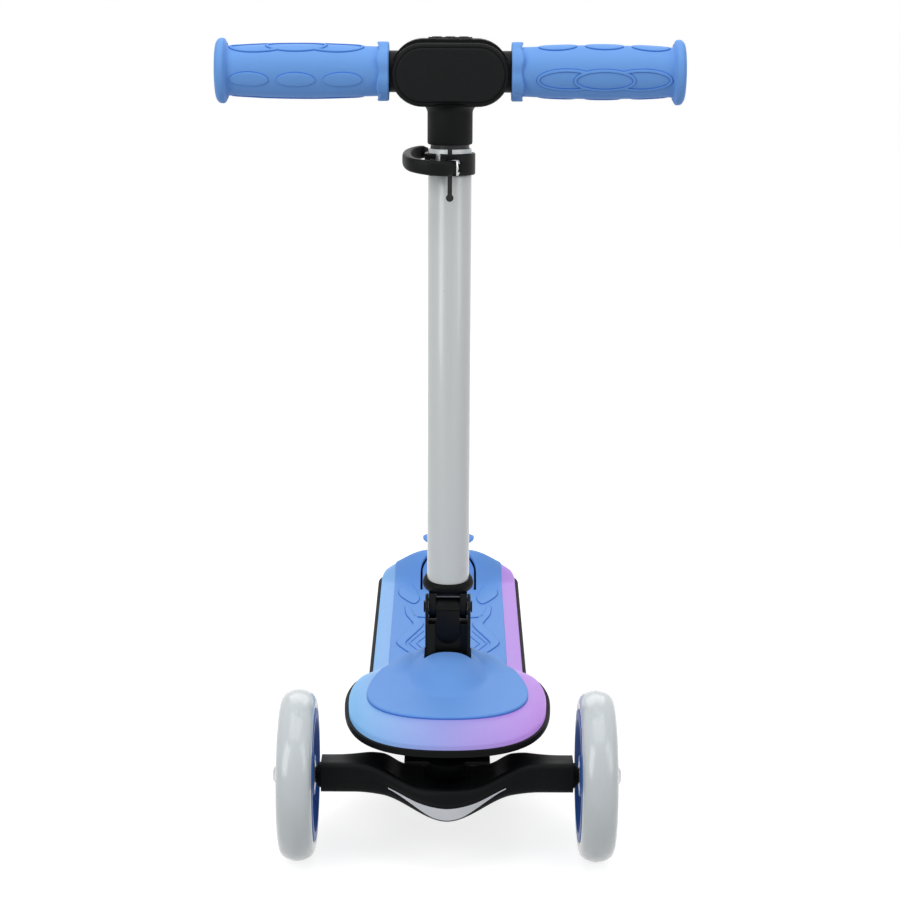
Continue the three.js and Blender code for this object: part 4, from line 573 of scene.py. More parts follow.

# The pads' deeper blue is painted shade, laid where the flank-shade attribute marks relief flanks and
# the pad's lip.
blue_pad = moulded("soft_blue_moulding", srgb(111, 163, 236), 0.5, 2300, 0.00005, 0.03, gloss=0.12,
                   painted_shade=srgb(56, 112, 200))
for name, low, high, cad in (("foot_pad_nose", -40, split - 0.15, "nose_pad"),
                             ("foot_pad_deck", split + 0.15, 470, "deck_pad")):
    pad = row_skin(name, pad_rings, crease=50)
    carve(pad, [block(-90, 90, low, high, 0, 200)], "INTERSECT", crease=50)
    if cad == "nose_pad":
        carve(pad, [block(-17.5, 17.5, 96.2, 139.8, 0, 200)], crease=50)
    else:
        carve(pad, [pedal_slot()], crease=50)
    # Painted shade on the lower part of the pad's rounded edge, next to the band.
    flank = pad.data.attributes.new("flank", "FLOAT", "POINT")
    for vertex in pad.data.vertices:
        x, y = vertex.co.x * 1000, (vertex.co.y - front_axle.y) * 1000
        stand = float(pad_stand(y))
        above = (vertex.co.z * 1000 - float(band_level(x, y)) - 0.4) / (stand - 0.4)
        flank.data[vertex.index].value = 0.8 * fade(above, 0.25, 0.7)
    dress(pad, blue_pad, "deck", "blue_pad", [cad])


def ribbon(points, per):
    return np.array(flow(np.array(points, float), per))


def lay_on_pad(u, v, height):
    return row([(u, v, float(pad_top(u, v)) + height)])[0]


def raised(name, course, widths, lay, height, edge=0.4, columns=(-0.6, -0.2, 0.2, 0.6)):
    """A low relief along a course of [u, v] points, as wide to each side as given there.

    The attribute marks its flanks, where painted shade darkens the moulding's colour.
    """
    course = np.array(course, float)
    along = np.gradient(course, axis=0)
    along /= np.linalg.norm(along, axis=1, keepdims=True)
    rings = []
    for (u, v), (run, climb), width in zip(course, along, widths):
        soft = min(edge, width * 0.5)
        flat = [(width - soft) * c for c in columns]
        foot = width + min(0.35, width * 0.5)
        section = ([(-foot, -0.5), (-foot, 0.05), (-width, (height - edge) * 0.5),
                    (-width + soft * 0.3, height - edge * 0.3), (-width + soft, height)]
                   + [(c, height) for c in flat]
                   + [(width - soft, height), (width - soft * 0.3, height - edge * 0.3),
                      (width, (height - edge) * 0.5), (foot, 0.05), (foot, -0.5)])
        rings.append([lay(u + climb * s, v - run * s, h) for s, h in section])
    count = len(rings[0])
    rings = capped(rings)
    piece = skin(name, rings, crease=60)
    points = np.vstack(rings)
    places = KDTree(len(points))
    for k, point in enumerate(points):
        places.insert(point, k)
    places.balance()
    # Painted shade weights: full on the steep flanks, part on the edge rounds, none on the top.
    flank_shade_weights = [1, 1, 1, 0.4] + [0] * (count - 8) + [0.4, 1, 1, 1]
    flank = piece.data.attributes.new("flank", "FLOAT", "POINT")
    for vertex in piece.data.vertices:
        flank.data[vertex.index].value = flank_shade_weights[places.find(vertex.co)[1] % count]
    return piece


def leaf(count, width):
    return [max(0.3, width * math.sin(math.pi * t) ** 0.6) for t in np.linspace(0, 1, count)]


# Leaves, zigzag ribs and fine chevrons are raised on the deck pad, the same on both sides.
both_sides = ((-1, "left"), (1, "right"))
pad_reliefs = [
    ("pad_leaf", [(32, 397), (35.5, 388), (34.5, 374), (31, 361), (29, 348)], 8, 1.0),
    ("pad_zigzag", [(35.5, 345), (34.4, 336), (32, 320), (27.6, 307), (24.8, 297), (26.8, 287),
                    (33.4, 268), (37.8, 254), (37.2, 246), (33.4, 236), (30, 227)], 4.4, 1.0),
    ("pad_chevron_outer", [(20, 280), (24, 270), (30.4, 254), (30.6, 249), (27.4, 241),
                           (24, 233)], 0.7, 0.65),
    ("pad_chevron_inner", [(17, 272), (19.5, 265), (24.6, 253), (24.8, 249), (22, 242),
                           (19, 235)], 0.7, 0.65),
]
for side, label in both_sides:
    for name, points, width, height in pad_reliefs:
        course = ribbon([(side * x, y) for x, y in points], 8)
        relief = raised(name + "_" + label, course, leaf(len(course), width), lay_on_pad, height)
        dress(relief, blue_pad, "deck", "blue_pad")
lens = ribbon([(x, 316) for x in np.linspace(-30, 30, 9)], 5)
dress(raised("pad_cross_rib", lens, leaf(len(lens), 5), lay_on_pad, 1.0), blue_pad, "deck", "blue_pad")

# The rim of the wheel well closes the deck's hump off inside, black on both sides of the pedal.
rim_inner, rim_outer, rim_floor, rim_back = 25.2, 26.4, 60, 414.6
for side, label in both_sides:
    walls = []
    for y in np.linspace(387, rim_back, 15):
        top = float(pad_under(rim_outer, y)) - 0.3
        walls.append(row([(side * x, y, z) for x, z in (
            (rim_inner, rim_floor), (rim_outer, rim_floor), (rim_outer, top), (rim_inner, top))]))
    rim = skin("well_rim_" + label, capped(walls))
    back = block(*sorted((side * 18.4, side * 25.8)), 413.4, 414.5, 60.2, top - 0.4)
    carve(rim, [back], "UNION")
    dress(rim, black_moulding, "deck", "black_plastic")

# REAR BRAKE PEDAL
# The rider presses this blue moulded tongue with the heel. It turns on a steel pin in front of the
# wheel well, and the shoe under it closes on the rear wheel.
pedal_course = ribbon([(384, 61), (389.5, 66.5), (398, 75), (404, 84), (411, 93.5), (420, 99.5),
                       (430, 103), (438, 105)], 9)
pedal_steps = np.r_[0, np.cumsum(np.hypot(*np.diff(pedal_course, axis=0).T))]
pedal_right = [(0.3, -0.1), (0.6, -0.42), (0.85, -0.86), (0.93, -1.15), (0.985, -1.6), (1, -2.2),
               (0.99, -2.9), (0.95, -3.25), (0.88, -3.4)]
pedal_left = [(-s, t) for s, t in pedal_right[::-1]]
pedal_section = pedal_left[5:] + [(0, 0), *pedal_right, (0, -3.4)] + pedal_left[:5]
pedal_rings = []
pedal_shares = pedal_steps / pedal_steps[-1]
for middle, run in zip(pedal_course, pedal_shares):
    k = int(np.clip(np.searchsorted(pedal_shares, run), 1, len(pedal_course) - 1))
    along = pedal_course[k] - pedal_course[k - 1]
    along = along / np.hypot(*along)
    waist_share = smooth(run, 0.36, 0.62)
    tip = smooth(run, 0.7, 0.88) - 0.8 * smooth(run, 0.92, 1)
    half = mix(mix(22.6, 15.3, waist_share), 22.6, tip)
    pedal_rings.append([(s * half, middle[0] - along[1] * t, middle[1] + along[0] * t)
                        for s, t in pedal_section])
pedal = row_skin("heel_pedal", capped(pedal_rings), crease=50)
shoe = block(-9, 9, 416, 432, 40, 96)
carve(shoe, [cross_rod(45, -30, 30, wheel_y, wheel_z, 96)])
hinge = cross_rod(4.4, -20, 20, pin_y, pin_z)
carve(pedal, [shoe, hinge, block(-20, 20, pin_y, 386, pin_z, 63.6)], "UNION")
carve(pedal, [cross_rod(43, -62, 62, wheel_y, wheel_z, 96), cross_rod(pin_bore, -30, 30, pin_y, pin_z)],
      crease=50)
pedal_blue = moulded("glossy_blue_moulding", srgb(104, 156, 232), 0.36, 1900, 0.00004, 0.03, gloss=0.2)
dress(pedal, pedal_blue, "brake", "blue_pad", ["brake_pedal"])

zinc_steel = moulded("bright_zinc_steel", srgb(196, 198, 201), 0.3, 2600, 0.00002, 0.05, metal=1)
finish_node("brake_pin", zinc_steel, 0.0003)

# WHEELS
# Three cast wheels: a milky white tyre with a rounded tread over a blue moulded core of five
# spokes, on a pair of steel ball bearings.
def mm(x, y, z):
    return Vector((x / 1000, y / 1000, z / 1000))


def spin(name, profile, frame_at, sides=96, crease=35, looped=True):
    """Turns a section of [radius, height] pairs, in millimetres, about the frame's own Z."""
    points = [frame_at @ mm(r * math.cos(t), r * math.sin(t), h)
              for r, h in profile for t in around(sides)]
    return solid(name, points, ring_faces(sides, len(profile), looped), crease)


def rod(radius, low, high, frame_at, sides=96):
    """A cutting cylinder along the frame's own Z."""
    section = [(0, low), (radius, low), (radius, high), (0, high)]
    return spin("cutter", section, frame_at, sides, looped=False)


def at(x, y, z):
    """A frame at a point in millimetres, from the ground under the front axle."""
    return Matrix.Translation((x / 1000, front_axle.y + y / 1000, z / 1000))


def turned_by(degrees, axis):
    return Matrix.Rotation(math.radians(degrees), 4, axis)


across_x = turned_by(90, "Y")
tread_round = [(0, 0.64), (0.05, 0.9), (0.16, 0.985), (0.35, 1), (0.52, 0.955), (0.68, 0.86),
               (0.81, 0.7), (0.9, 0.5), (0.965, 0.27), (1, 0)]


def tyre_section(outer, inner, width):
    side = ribbon([(inner + (outer - inner) * up, width / 2 * out) for up, out in tread_round], 3)
    return np.vstack([side, (side * np.array([1, -1]))[:-1][::-1]])


def mirrored(section):
    return [(r, -h) for r, h in section[::-1]]


def wheel_core(name, rim, rim_width, width, place, rim_place):
    wall, boss = rim * 0.13, 14.4
    half_rim, half_boss = rim_width / 2, width / 2
    outside = [(rim, half_rim - 0.6), (rim - 0.6, half_rim), (rim - wall, half_rim)]
    inside = [(rim - wall - 0.5, half_rim - 0.8), (rim - wall * 1.5, 2)]
    core = spin(name, mirrored(outside) + outside + inside + mirrored(inside), rim_place @ across_x)
    end = [(boss, half_boss - 0.6), (boss - 0.6, half_boss), (0, half_boss)]
    tools = [spin("cutter", mirrored(end) + end, place @ across_x, looped=False)]
    for k in range(5):
        half = [(boss - 2, boss * 0.5), (mix(boss, rim, 0.2), boss * 0.36),
                (mix(boss, rim, 0.5), boss * 0.3), (mix(boss, rim, 0.75), boss * 0.38),
                (rim - wall * 0.6, boss * 0.62)]
        plan = half + mirrored(half)
        turned = place @ Matrix.Rotation(k * math.tau / 5, 4, "X")
        tools.append(flat_ended("cutter", [[turned @ mm(x, w, r) for r, w in plan]
                                           for x in (-width * 0.18, width * 0.18)]))
    carve(core, tools, "UNION")
    carve(core, [rod(radius, low, high, place @ across_x) for radius, low, high in (
        (11.3, half_boss - 7.3, width), (11.3, -width, 7.3 - half_boss), (9, -width, width))])
    round_edges(core, 0.0006, 35)
    return core


milky_tyre = moulded("milky_cast_tyre", srgb(208, 215, 218), 0.2, 420, 0.00003, 0.025, strength=0.15)
tune(milky_tyre.node_tree.nodes["Principled BSDF"], {
    "Subsurface Weight": 0.35, "Subsurface Radius": (0.006, 0.006, 0.006),
    "Coat Weight": 0.35, "Coat Roughness": 0.08})
shader.inputs["Coat Roughness"].default_value = 0.08
blue_core = moulded("blue_moulded_core", srgb(36, 86, 166), 0.38, 1500, 0.00004, 0.05, gloss=0.4)

# Each wheel: its body, its place in x, y and z, the rim's shift and radius, and the widths of the
# tyre, rim and boss.
wheels = (
    ("front_wheel_left", -105.5, 0, 60, 0.8, 46.5, 24.4, 25.2, 25),
    ("front_wheel_right", 105.5, 0, 60, -0.8, 46.5, 24.4, 25.2, 25),
    ("rear_wheel", 0, wheel_y, wheel_z, 0, 29, 24, 24, 24),
)
for body, x, y, radius, shift, rim, tyre_width, rim_width, width in wheels:
    tyre_node, hub_node = (body.replace("wheel", kind) for kind in ("tyre", "hub"))
    place = at(x, y, radius)
    rim_place = at(x + shift, y, radius)
    tyre = spin("cast_" + tyre_node, tyre_section(radius, rim + 0.3, tyre_width),
                rim_place @ across_x, 144, crease=50)
    dress(tyre, milky_tyre, body, "tyre_white", [tyre_node])
    core = wheel_core("moulded_" + hub_node, rim, rim_width, width, place, rim_place)
    dress(core, blue_core, body, "blue_hub", [hub_node])

shield_steel = moulded("bearing_shield_steel", srgb(178, 181, 185), 0.28, 3000, 0.00002, 0.04, metal=1)
for name in nodes:
    if "bearing" in name:
        finish_node(name, shield_steel, 0.0003)
spacer_black = moulded("black_spacer_moulding", srgb(9, 10, 11), 0.5, 1500, 0.00004, gloss=0.1)
for side in ("left", "right"):
    finish_node("axle_spacer_" + side, spacer_black, 0.0004)
    finish_node("front_axle_" + side, zinc_steel, 0.0004)
finish_node("rear_axle", zinc_steel, 0.0005)

# FRONT BEAM
# A single black casting carries both front wheels. Its middle dips and bows forward round the
# kingpin, with a ledge along its front face, and it tilts and steers with the rider's lean.
beam_half = 88.4


def beam_lines(x):
    """Front, bottom, top and middle of the beam, and how far its front bows out there."""
    share = abs(x) / beam_half
    bulge = fade(share, 0, 0.74)
    bottom = mix(50.5, 38, fade(share, 0, 0.52))
    top = mix(72, 61, fade(share, 0.18, 0.66))
    return mix(-12, -34, bulge), bottom, top, mix(bottom, top, 0.56), bulge


beam_rings = []
for x in np.linspace(-beam_half, beam_half, 121):
    front, bottom, top, middle, bulge = beam_lines(x)
    share = abs(x) / beam_half
    rear = mix(12, 30, fade(share, 0.1, 0.9))
    ledge = front + mix(0.3, 2.2, bulge)
    dish = 4.5 * fade(share, 0.34, 0.52)
    beam_rings.append([(x, y, z) for y, z in (
        (front + 5, bottom), (front + 2.6, bottom + 0.7), (front + 1.2, bottom + 2.2),
        (front + 0.6, bottom + 4), (front, middle - 1.3), (front + 0.25, middle - 0.5),
        (ledge - 0.4, middle + 0.5), (ledge, middle + 1.2), (ledge, top - 4.5),
        (ledge + 0.7, top - 2.3), (ledge + 2.2, top - 0.9), (ledge + 4, top - 0.2),
        (ledge + 6, top), (ledge + 7, top - 0.12 * dish), (ledge + 8.8, top - 0.5 * dish),
        (ledge + 10.4, top - 0.9 * dish), (ledge + 12, top - dish), (rear - 5, top - dish),
        (rear - 2.6, top - dish - 0.5), (rear - 0.9, top - dish - 1.9), (rear, top - dish - 4),
        (rear, bottom + 5), (rear - 0.9, bottom + 2.3), (rear - 2.6, bottom + 0.6),
        (rear - 5, bottom))])
beam = row_skin("front_beam", capped(beam_rings), crease=40)
kingpin = at(0, 12, 62) @ turned_by(40, "X")
carve(beam, [rod(14, -20, 0, kingpin, 72)], "UNION", crease=40)
carve(beam, [rod(18.4, 0, 60, kingpin, 72), rod(5.3, -40, 2, kingpin, 72),
             rod(11, -40, -20, kingpin, 72), cross_rod(4, 62.4, 90.4, 0, 60),
             cross_rod(4, -90.4, -62.4, 0, 60)], crease=40)
round_edges(beam, 0.0007, 40)
beam_black = moulded("satin_black_casting", srgb(7, 8, 10), 0.46, 1300, 0.00005, 0.12, gloss=0.1)
dress(beam, beam_black, "truck", "black_plastic", ["truck_beam"])

# A blank white plate is stuck to the lower front of the beam and follows its curve.
plate_rows = []
for x in np.linspace(-41, 41, 83):
    front, bottom, top, middle, bulge = beam_lines(x)
    low = mix(bottom + 2.6, middle - 2.4, float(smooth(abs(x), 8, 41)))
    low_y = front + 0.8 * (middle - 1.3 - low) / (middle - bottom)
    high = middle - 1.6
    plate_rows.append([(x, low_y - 0.25, low), (x, front - 0.25, high),
                       (x, front + 0.2, high), (x, low_y + 0.2, low)])
plate = row_skin("blank_plate", capped(plate_rows), crease=40)
plate_white = moulded("white_film", srgb(222, 225, 231), 0.38, 700, 0.00002, 0.02, strength=0.15,
                      gloss=0.4)
dress(plate, plate_white, "truck", "tyre_white")

finish_node("pivot_boss", black_moulding, 0.0006)
bushing_rubber = moulded("black_rubber", srgb(13, 13, 14), 0.72, 1100, 0.00006, gloss=0.12)
finish_node("pivot_bushing", bushing_rubber, 0.0003)
finish_node("kingpin", zinc_steel, 0.0005)

# FOLDING BRACKET
# A black powder-coated steel bracket is bolted to the nose. Two cheeks and a web with a thumb
# recess carry the fold pin, the latch plate and the release lever.
powder_coat = moulded("black_powder_coat", srgb(8, 9, 10), 0.4, 950, 0.00008, 0.08, gloss=0.16)
finish_node("fold_bracket", powder_coat, 0.0006)
finish_node("hinge_base", powder_coat, 0.0005)
finish_node("fold_pin", powder_coat, 0.0003)
plate_steel = moulded("dull_plated_steel", srgb(84, 86, 90), 0.42, 2200, 0.00003, 0.08, metal=1)
finish_node("latch_plate", plate_steel, 0.0002)
fold_y, fold_z = 111, 147
for side, label in both_sides:
    # A dark powder-coated block under each ear fills the gap beside the release lever, standing in for
    # the shade there.
    ear_gap_shade_block = block(*sorted((side * 8.8, side * 14.3)), 105, 116, 126, 137.4)
    ear_gap_shade_block.name = "ear_bed_" + label
    carve(ear_gap_shade_block, [cross_rod(9.2, -20, 20, fold_y, fold_z)])
    dress(ear_gap_shade_block, powder_coat, "deck", "black_metal")
    for name, outer, low, high, finish, slot in (
            ("pin_washer_", 6.5, 14.15, 14.45, zinc_steel, "bright_steel"),
            ("pin_spacer_", 8.7, 8.74, 9.08, powder_coat, "black_metal")):
        ring = spin(name + label, [(4, low), (outer, low), (outer, high), (4, high)],
                    at(0, fold_y, fold_z) @ turned_by(side * 90, "Y"), 64)
        dress(ring, finish, "deck", slot)
release_black = moulded("black_release_moulding", srgb(9, 10, 11), 0.45, 1500, 0.00005, gloss=0.14)
finish_node("release_lever", release_black, 0.0005)

# STEERING COLUMN
# A white painted aluminium tube, slit at the top so that the clamp can close it on the inner tube.
# A flared black collar covers its foot.
column_at = at(0, fold_y, fold_z) @ turned_by(-3, "X") @ Matrix.Translation((0, 0.005, 0))


def column_box(*limits, frame_at=column_at):
    return solid("cutter", [frame_at @ mm(*p) for p in box_points(*limits)], box_faces)


tube_foot, tube_top = 16, 337.6
tube = spin("column_sleeve", [(14.2, tube_foot), (15.5, tube_foot), (15.5, tube_top - 0.35),
                              (15.3, tube_top), (14.4, tube_top), (14.2, tube_top - 0.3)],
            column_at, 128)
eye_at = column_at @ Matrix.Translation(mm(0, 0, tube_top - 34)) @ turned_by(90, "X")
eye = rod(2.7, 0, 31, eye_at, 48)
carve(tube, [column_box(-1.6, 1.6, -31, 0, tube_top - 34, tube_top + 2), eye])
white_paint, tree, shader = new_material("white_enamel")
tune(shader, {"Base Color": srgb(212, 216, 216), "Coat Weight": 0.5, "Coat Roughness": 0.12})
emboss(tree, shader, noise(tree, 600, 2), "Fac", 0.12, 0.00004)
polish(tree, shader, 60, 4, 0.24, 0.36)
dress(tube, white_paint, "column", "white_paint", ["column_tube"])

collar_bore, collar_out = 14.6, 18.8
collar_side = ribbon([(mix(collar_bore, collar_out, out), up) for out, up in (
    (0.45, 12.6), (0.85, 14.6), (1, 17.4), (0.84, 20.6), (0.55, 22.6))], 5)
collar = spin("foot_collar", [(collar_bore, 12.6), *collar_side, (15.8, 22.6), (15.8, 15.7),
                              (collar_bore, 15.7)], column_at)
# Its front dips under the tube.
for vertex in collar.data.vertices:
    place = column_at.inverted() @ vertex.co
    place.z -= 0.003 * float(smooth(place.z, 0.0165, 0.0206) * smooth(-place.y, -0.006, 0.017))
    vertex.co = column_at @ place
dress(collar, black_moulding, "column", "black_plastic", ["column_collar"])

# HEIGHT CLAMP
# A split black ring, drawn tight by a bolt. The cam lever hooks over a bright barrel at the front
# and wraps round the left of the tube.
clamp_foot, clamp_top, clamp_middle = 319.2, 334.6, 325.75
clamp_bore, clamp_out, bolt_y = 15.8, 18.2, -24.6
clamp = spin("split_ring", [(clamp_bore, clamp_foot), (17.6, clamp_foot),
                            (clamp_out, clamp_foot + 0.7), (clamp_out, clamp_top - 0.7),
                            (17.6, clamp_top), (clamp_bore, clamp_top)], column_at, 128)
carve(clamp, [column_box(-14, -3, -28.4, -13.5, clamp_middle - 5.5, clamp_middle + 5.5)], "UNION")
bolt_at = column_at @ Matrix.Translation(mm(0, bolt_y, clamp_middle)) @ across_x
bolt_bore = rod(2.7, -20, 20, bolt_at, 32)
carve(clamp, [column_box(-9.9, -6.9, -31, 0, clamp_foot - 2, clamp_top + 2), bolt_bore,
              rod(clamp_bore, 300, 350, column_at, 128)])
for k in range(3):
    height = clamp_middle - 2.4 + k * 2.4
    rib = spin("grip_rib_%d" % k, [(18.1, height - 0.45), (18.5, height - 0.25), (18.5, height + 0.25),
                                   (18.1, height + 0.45)], column_at, 128)
    carve(rib, [column_box(2, 12, -30, 0, 300, 350)], "INTERSECT")
    dress(rib, powder_coat, "column", "black_metal")
round_edges(clamp, 0.0006, 35)
dress(clamp, powder_coat, "column", "black_metal", ["clamp_ring"])
finish_node("clamp_bolt", zinc_steel, 0.0004)

lever_radius, lever_rise = 31.9, 8
lever_course = [(-85.6, 0.85), (-97, 1.03), (-113.5, 1.14), (-135, 1.15), (-162, 1), (-188, 0.93),
                (-210, 0.87), (-229, 0.81)]
lever_path = []
for k, (angle, share) in enumerate(lever_course):
    turn = math.radians(angle)
    lever_path.append((lever_radius * share * math.cos(turn), lever_radius * share * math.sin(turn),
                       lever_rise * float(smooth(k, 1, 7))))
lever_path = ribbon(lever_path, 9)
lever_runs = np.r_[0, np.cumsum(np.linalg.norm(np.diff(lever_path, axis=0), axis=1))]
lever_section = []
for turn in around(32):
    c, s = math.cos(turn), math.sin(turn)
    lever_section.append((math.copysign(abs(c) ** 0.62, c), math.copysign(abs(s) ** 0.5, s)))
lever_rings = []
for k, (point, run) in enumerate(zip(lever_path, lever_runs / lever_runs[-1])):
    along = lever_path[min(k + 1, len(lever_path) - 1)] - lever_path[max(k - 1, 0)]
    out = np.array([along[1], -along[0], 0]) / np.hypot(along[0], along[1])
    half = mix(5.4, 4.6, run) * (1 - 0.3 * float(smooth(run, 0.94, 1)) ** 2)
    lever_rings.append([point + out * s * 3.3 * (1 - 0.35 * float(smooth(run, 0.95, 1))) +
                        np.array([0, 0, t * half + clamp_middle]) for s, t in lever_section])
lever = skin("cam_lever", [[column_at @ mm(*p) for p in ring] for ring in capped(lever_rings)],
             crease=50)
barrel_at = column_at @ Matrix.Translation(mm(3.6, bolt_y, 0))
carve(lever, [rod(5.6, clamp_middle - 5.4, clamp_middle + 5.4, barrel_at, 64)], "UNION", crease=50)
carve(lever, [
    rod(4.6, clamp_middle - 9, clamp_middle + 9, barrel_at, 64),
    column_box(1, 8, -5.6, 5.6, clamp_middle - 8, clamp_middle + 8, frame_at=barrel_at),
    column_box(-7.6, 5.6, -3, 7.6, clamp_middle - 3, clamp_middle + 3, frame_at=barrel_at),
], crease=50)
lever_black = moulded("matt_black_lever", srgb(10, 11, 12), 0.48, 1300, 0.00006, gloss=0.14)
dress(lever, lever_black, "clamp", "black_plastic", ["clamp_lever"])

# HANDLEBAR HEAD
# A black stadium-shaped housing with a separate front frame holds the little loudspeaker behind
# a woven mesh. Its neck drops over the inner tube, and three keys sit in a strip on top.
bar_at = column_at @ Matrix.Translation((0, 0, 0.3915))


def stadium_ring(width, height, count=24):
    radius = height / 2
    half = width / 2 - radius
    side = []
    for turn in np.linspace(-math.pi / 2, math.pi / 2, count + 1):
        side.append((half + radius * math.cos(turn), radius * math.sin(turn)))
    straight_top = np.linspace(half, -half, 9)[1:-1]
    ring = side + [(x, radius) for x in straight_top] + [(-x, -z) for x, z in side]
    return ring + [(-x, -radius) for x in straight_top]


def slab(name, steps, crease=35, lower=0):
    """A stack of stadium outlines [width, height, depth], closed flat at both ends."""
    return flat_ended(name, [[bar_at @ mm(x, y, z - lower) for x, z in stadium_ring(width, height)]
                             for width, height, y in steps], crease)


def edge_steps(width, height, y, radius, inward, count=6):
    steps = []
    for turn in np.linspace(0, math.pi / 2, count):
        tuck = radius * (1 - math.sin(turn))
        steps.append((width - 2 * tuck, height - 2 * tuck, y + inward * radius * (1 - math.cos(turn))))
    return steps


head_width, head_height, bar_bore = 84, 46, 11.4
head = slab("head_housing", [(head_width, head_height, -12),
                             *edge_steps(head_width, head_height, 19, 2.2, -1)[::-1]])
fillet = [(16.1 + 6.5 * (1 - math.sin(t)), -29.2 + 6.5 * math.cos(t)) for t in
          np.linspace(math.pi / 2, 0.12, 12)]
neck = spin("cutter", [(0, -51), (15.1, -51), (15.8, -50.6), (16.1, -49.4), *fillet, (0, -20)],
            bar_at, looped=False)
carve(head, [neck, rod(14.6, -43.1, 43.1, bar_at @ across_x)], "UNION")
carve(head, [
    column_box(-22, 22, -38, 12, -17, 17, frame_at=bar_at),
    rod(bar_bore, -84, 84, bar_at @ across_x),
    rod(14.2, -53, -24.7, bar_at),
    column_box(-15.8, 15.8, -2.8, 10.8, 20, 25, frame_at=bar_at),
])
head_black = moulded("fine_grain_black_moulding", srgb(12, 13, 14), 0.52, 1900, 0.00005, gloss=0.12)
dress(head, head_black, "handlebar", "black_plastic", ["head_body"])

frame_low, frame_width, frame_height = 1.8, 83.4, 44.4
frame_ring = slab("front_frame", [*edge_steps(frame_width, frame_height, -19, 3.2, 1),
                                  (frame_width, frame_height, -12.1)], lower=frame_low)
carve(frame_ring, [slab("cutter", [(77.4, 38.4, -25), (77.4, 38.4, -5)], lower=frame_low)])
round_edges(frame_ring, 0.0006, 40)
dress(frame_ring, head_black, "handlebar", "black_plastic", ["head_bezel"])

# A woven cloth is stretched over the loudspeaker's frame; its threads run on the diagonal.
cloth = slab("speaker_cloth", [*edge_steps(77.2, 38.2, -20, 2.2, 1, 10), (77.2, 38.2, -12.3)],
             crease=60, lower=frame_low)
weave, tree, shader = new_material("woven_speaker_mesh")
place = add(tree, "TexCoord")
knots = add(tree, "Math", operation="MULTIPLY")
for into, angle in enumerate((45, -45)):
    turned = add(tree, "Mapping", {"Rotation": (0, math.radians(angle), 0)})
    link(tree, place, "Object", turned, "Vector")
    thread = add(tree, "TexWave", {"Scale": 360}, bands_direction="X")
    link(tree, turned, "Vector", thread, "Vector")
    link(tree, thread, "Fac", knots, into)
tint = add(tree, "Mix", {6: srgb(8, 9, 9), 7: srgb(50, 54, 55)}, data_type="RGBA")
link(tree, knots, 0, tint, 0)
link(tree, tint, 2, shader, "Base Color")
emboss(tree, shader, knots, 0, 0.6, 0.00012)
tune(shader, {"Roughness": 0.7, "Specular IOR Level": 0.12})
dress(cloth, weave, "handlebar", "black_plastic", ["speaker_mesh"])

strip_black = moulded("satin_black_strip", srgb(14, 15, 16), 0.4, 1700, 0.00004, gloss=0.14)
finish_node("control_strip", strip_black, 0.0005)
for name in ("button_left", "button_centre", "button_right"):
    finish_node(name, bushing_rubber, 0.0004)
driver_steel = moulded("pressed_speaker_steel", srgb(84, 88, 92), 0.35, 1400, 0.00003, 0.06, metal=1)
finish_node("speaker_driver", driver_steel, 0.0003)
finish_node("sound_board", board_green, 0.0002)
inner_black = moulded("black_anodised_tube", srgb(17, 18, 20), 0.34, 2100, 0.00003, 0.06, metal=0.2)
inner_sleeve = spin("inner_sleeve", [(12.4, -225), (13.9, -225), (13.9, -25), (12.4, -25)], bar_at)
dress(inner_sleeve, inner_black, "handlebar", "black_metal", ["inner_tube"])

# GRIPS
# Soft blue rubber sleeves: a belly for the palm, a wide guard at the outer end and a scalloped
# collar at the head. Plain ovals are raised on them against slipping.
# The grips' deeper blue is painted shade on the flanks of the raised ovals and rings.
grip_rubber = moulded("soft_blue_rubber", srgb(114, 167, 238), 0.55, 1500, 0.00006, 0.03, gloss=0.16,
                      painted_shade=srgb(48, 108, 204))
grip_inner, grip_outer = 43.3, 165.5
grip_belly = ribbon([(17.3, grip_inner + 7.4), (17.4, grip_inner + 10.4),
                     (18.8, mix(grip_inner, grip_outer, 0.42)),
                     (18.5, mix(grip_inner, grip_outer, 0.7)),
                     (17.4, grip_outer - 10.4), (19.9, grip_outer - 7.74), (22.4, grip_outer - 6.2),
                     (22.9, grip_outer - 4.4), (22.5, grip_outer - 2.2), (20.6, grip_outer - 0.5),
                     (19.2, grip_outer)], 7)
oval_middle, oval_pitch, oval_half, oval_rise = 108.4, 32.8, 13.6, 5.3
ring_pitch, ring_half, ring_rise = 25.9, 20.8, 7.4
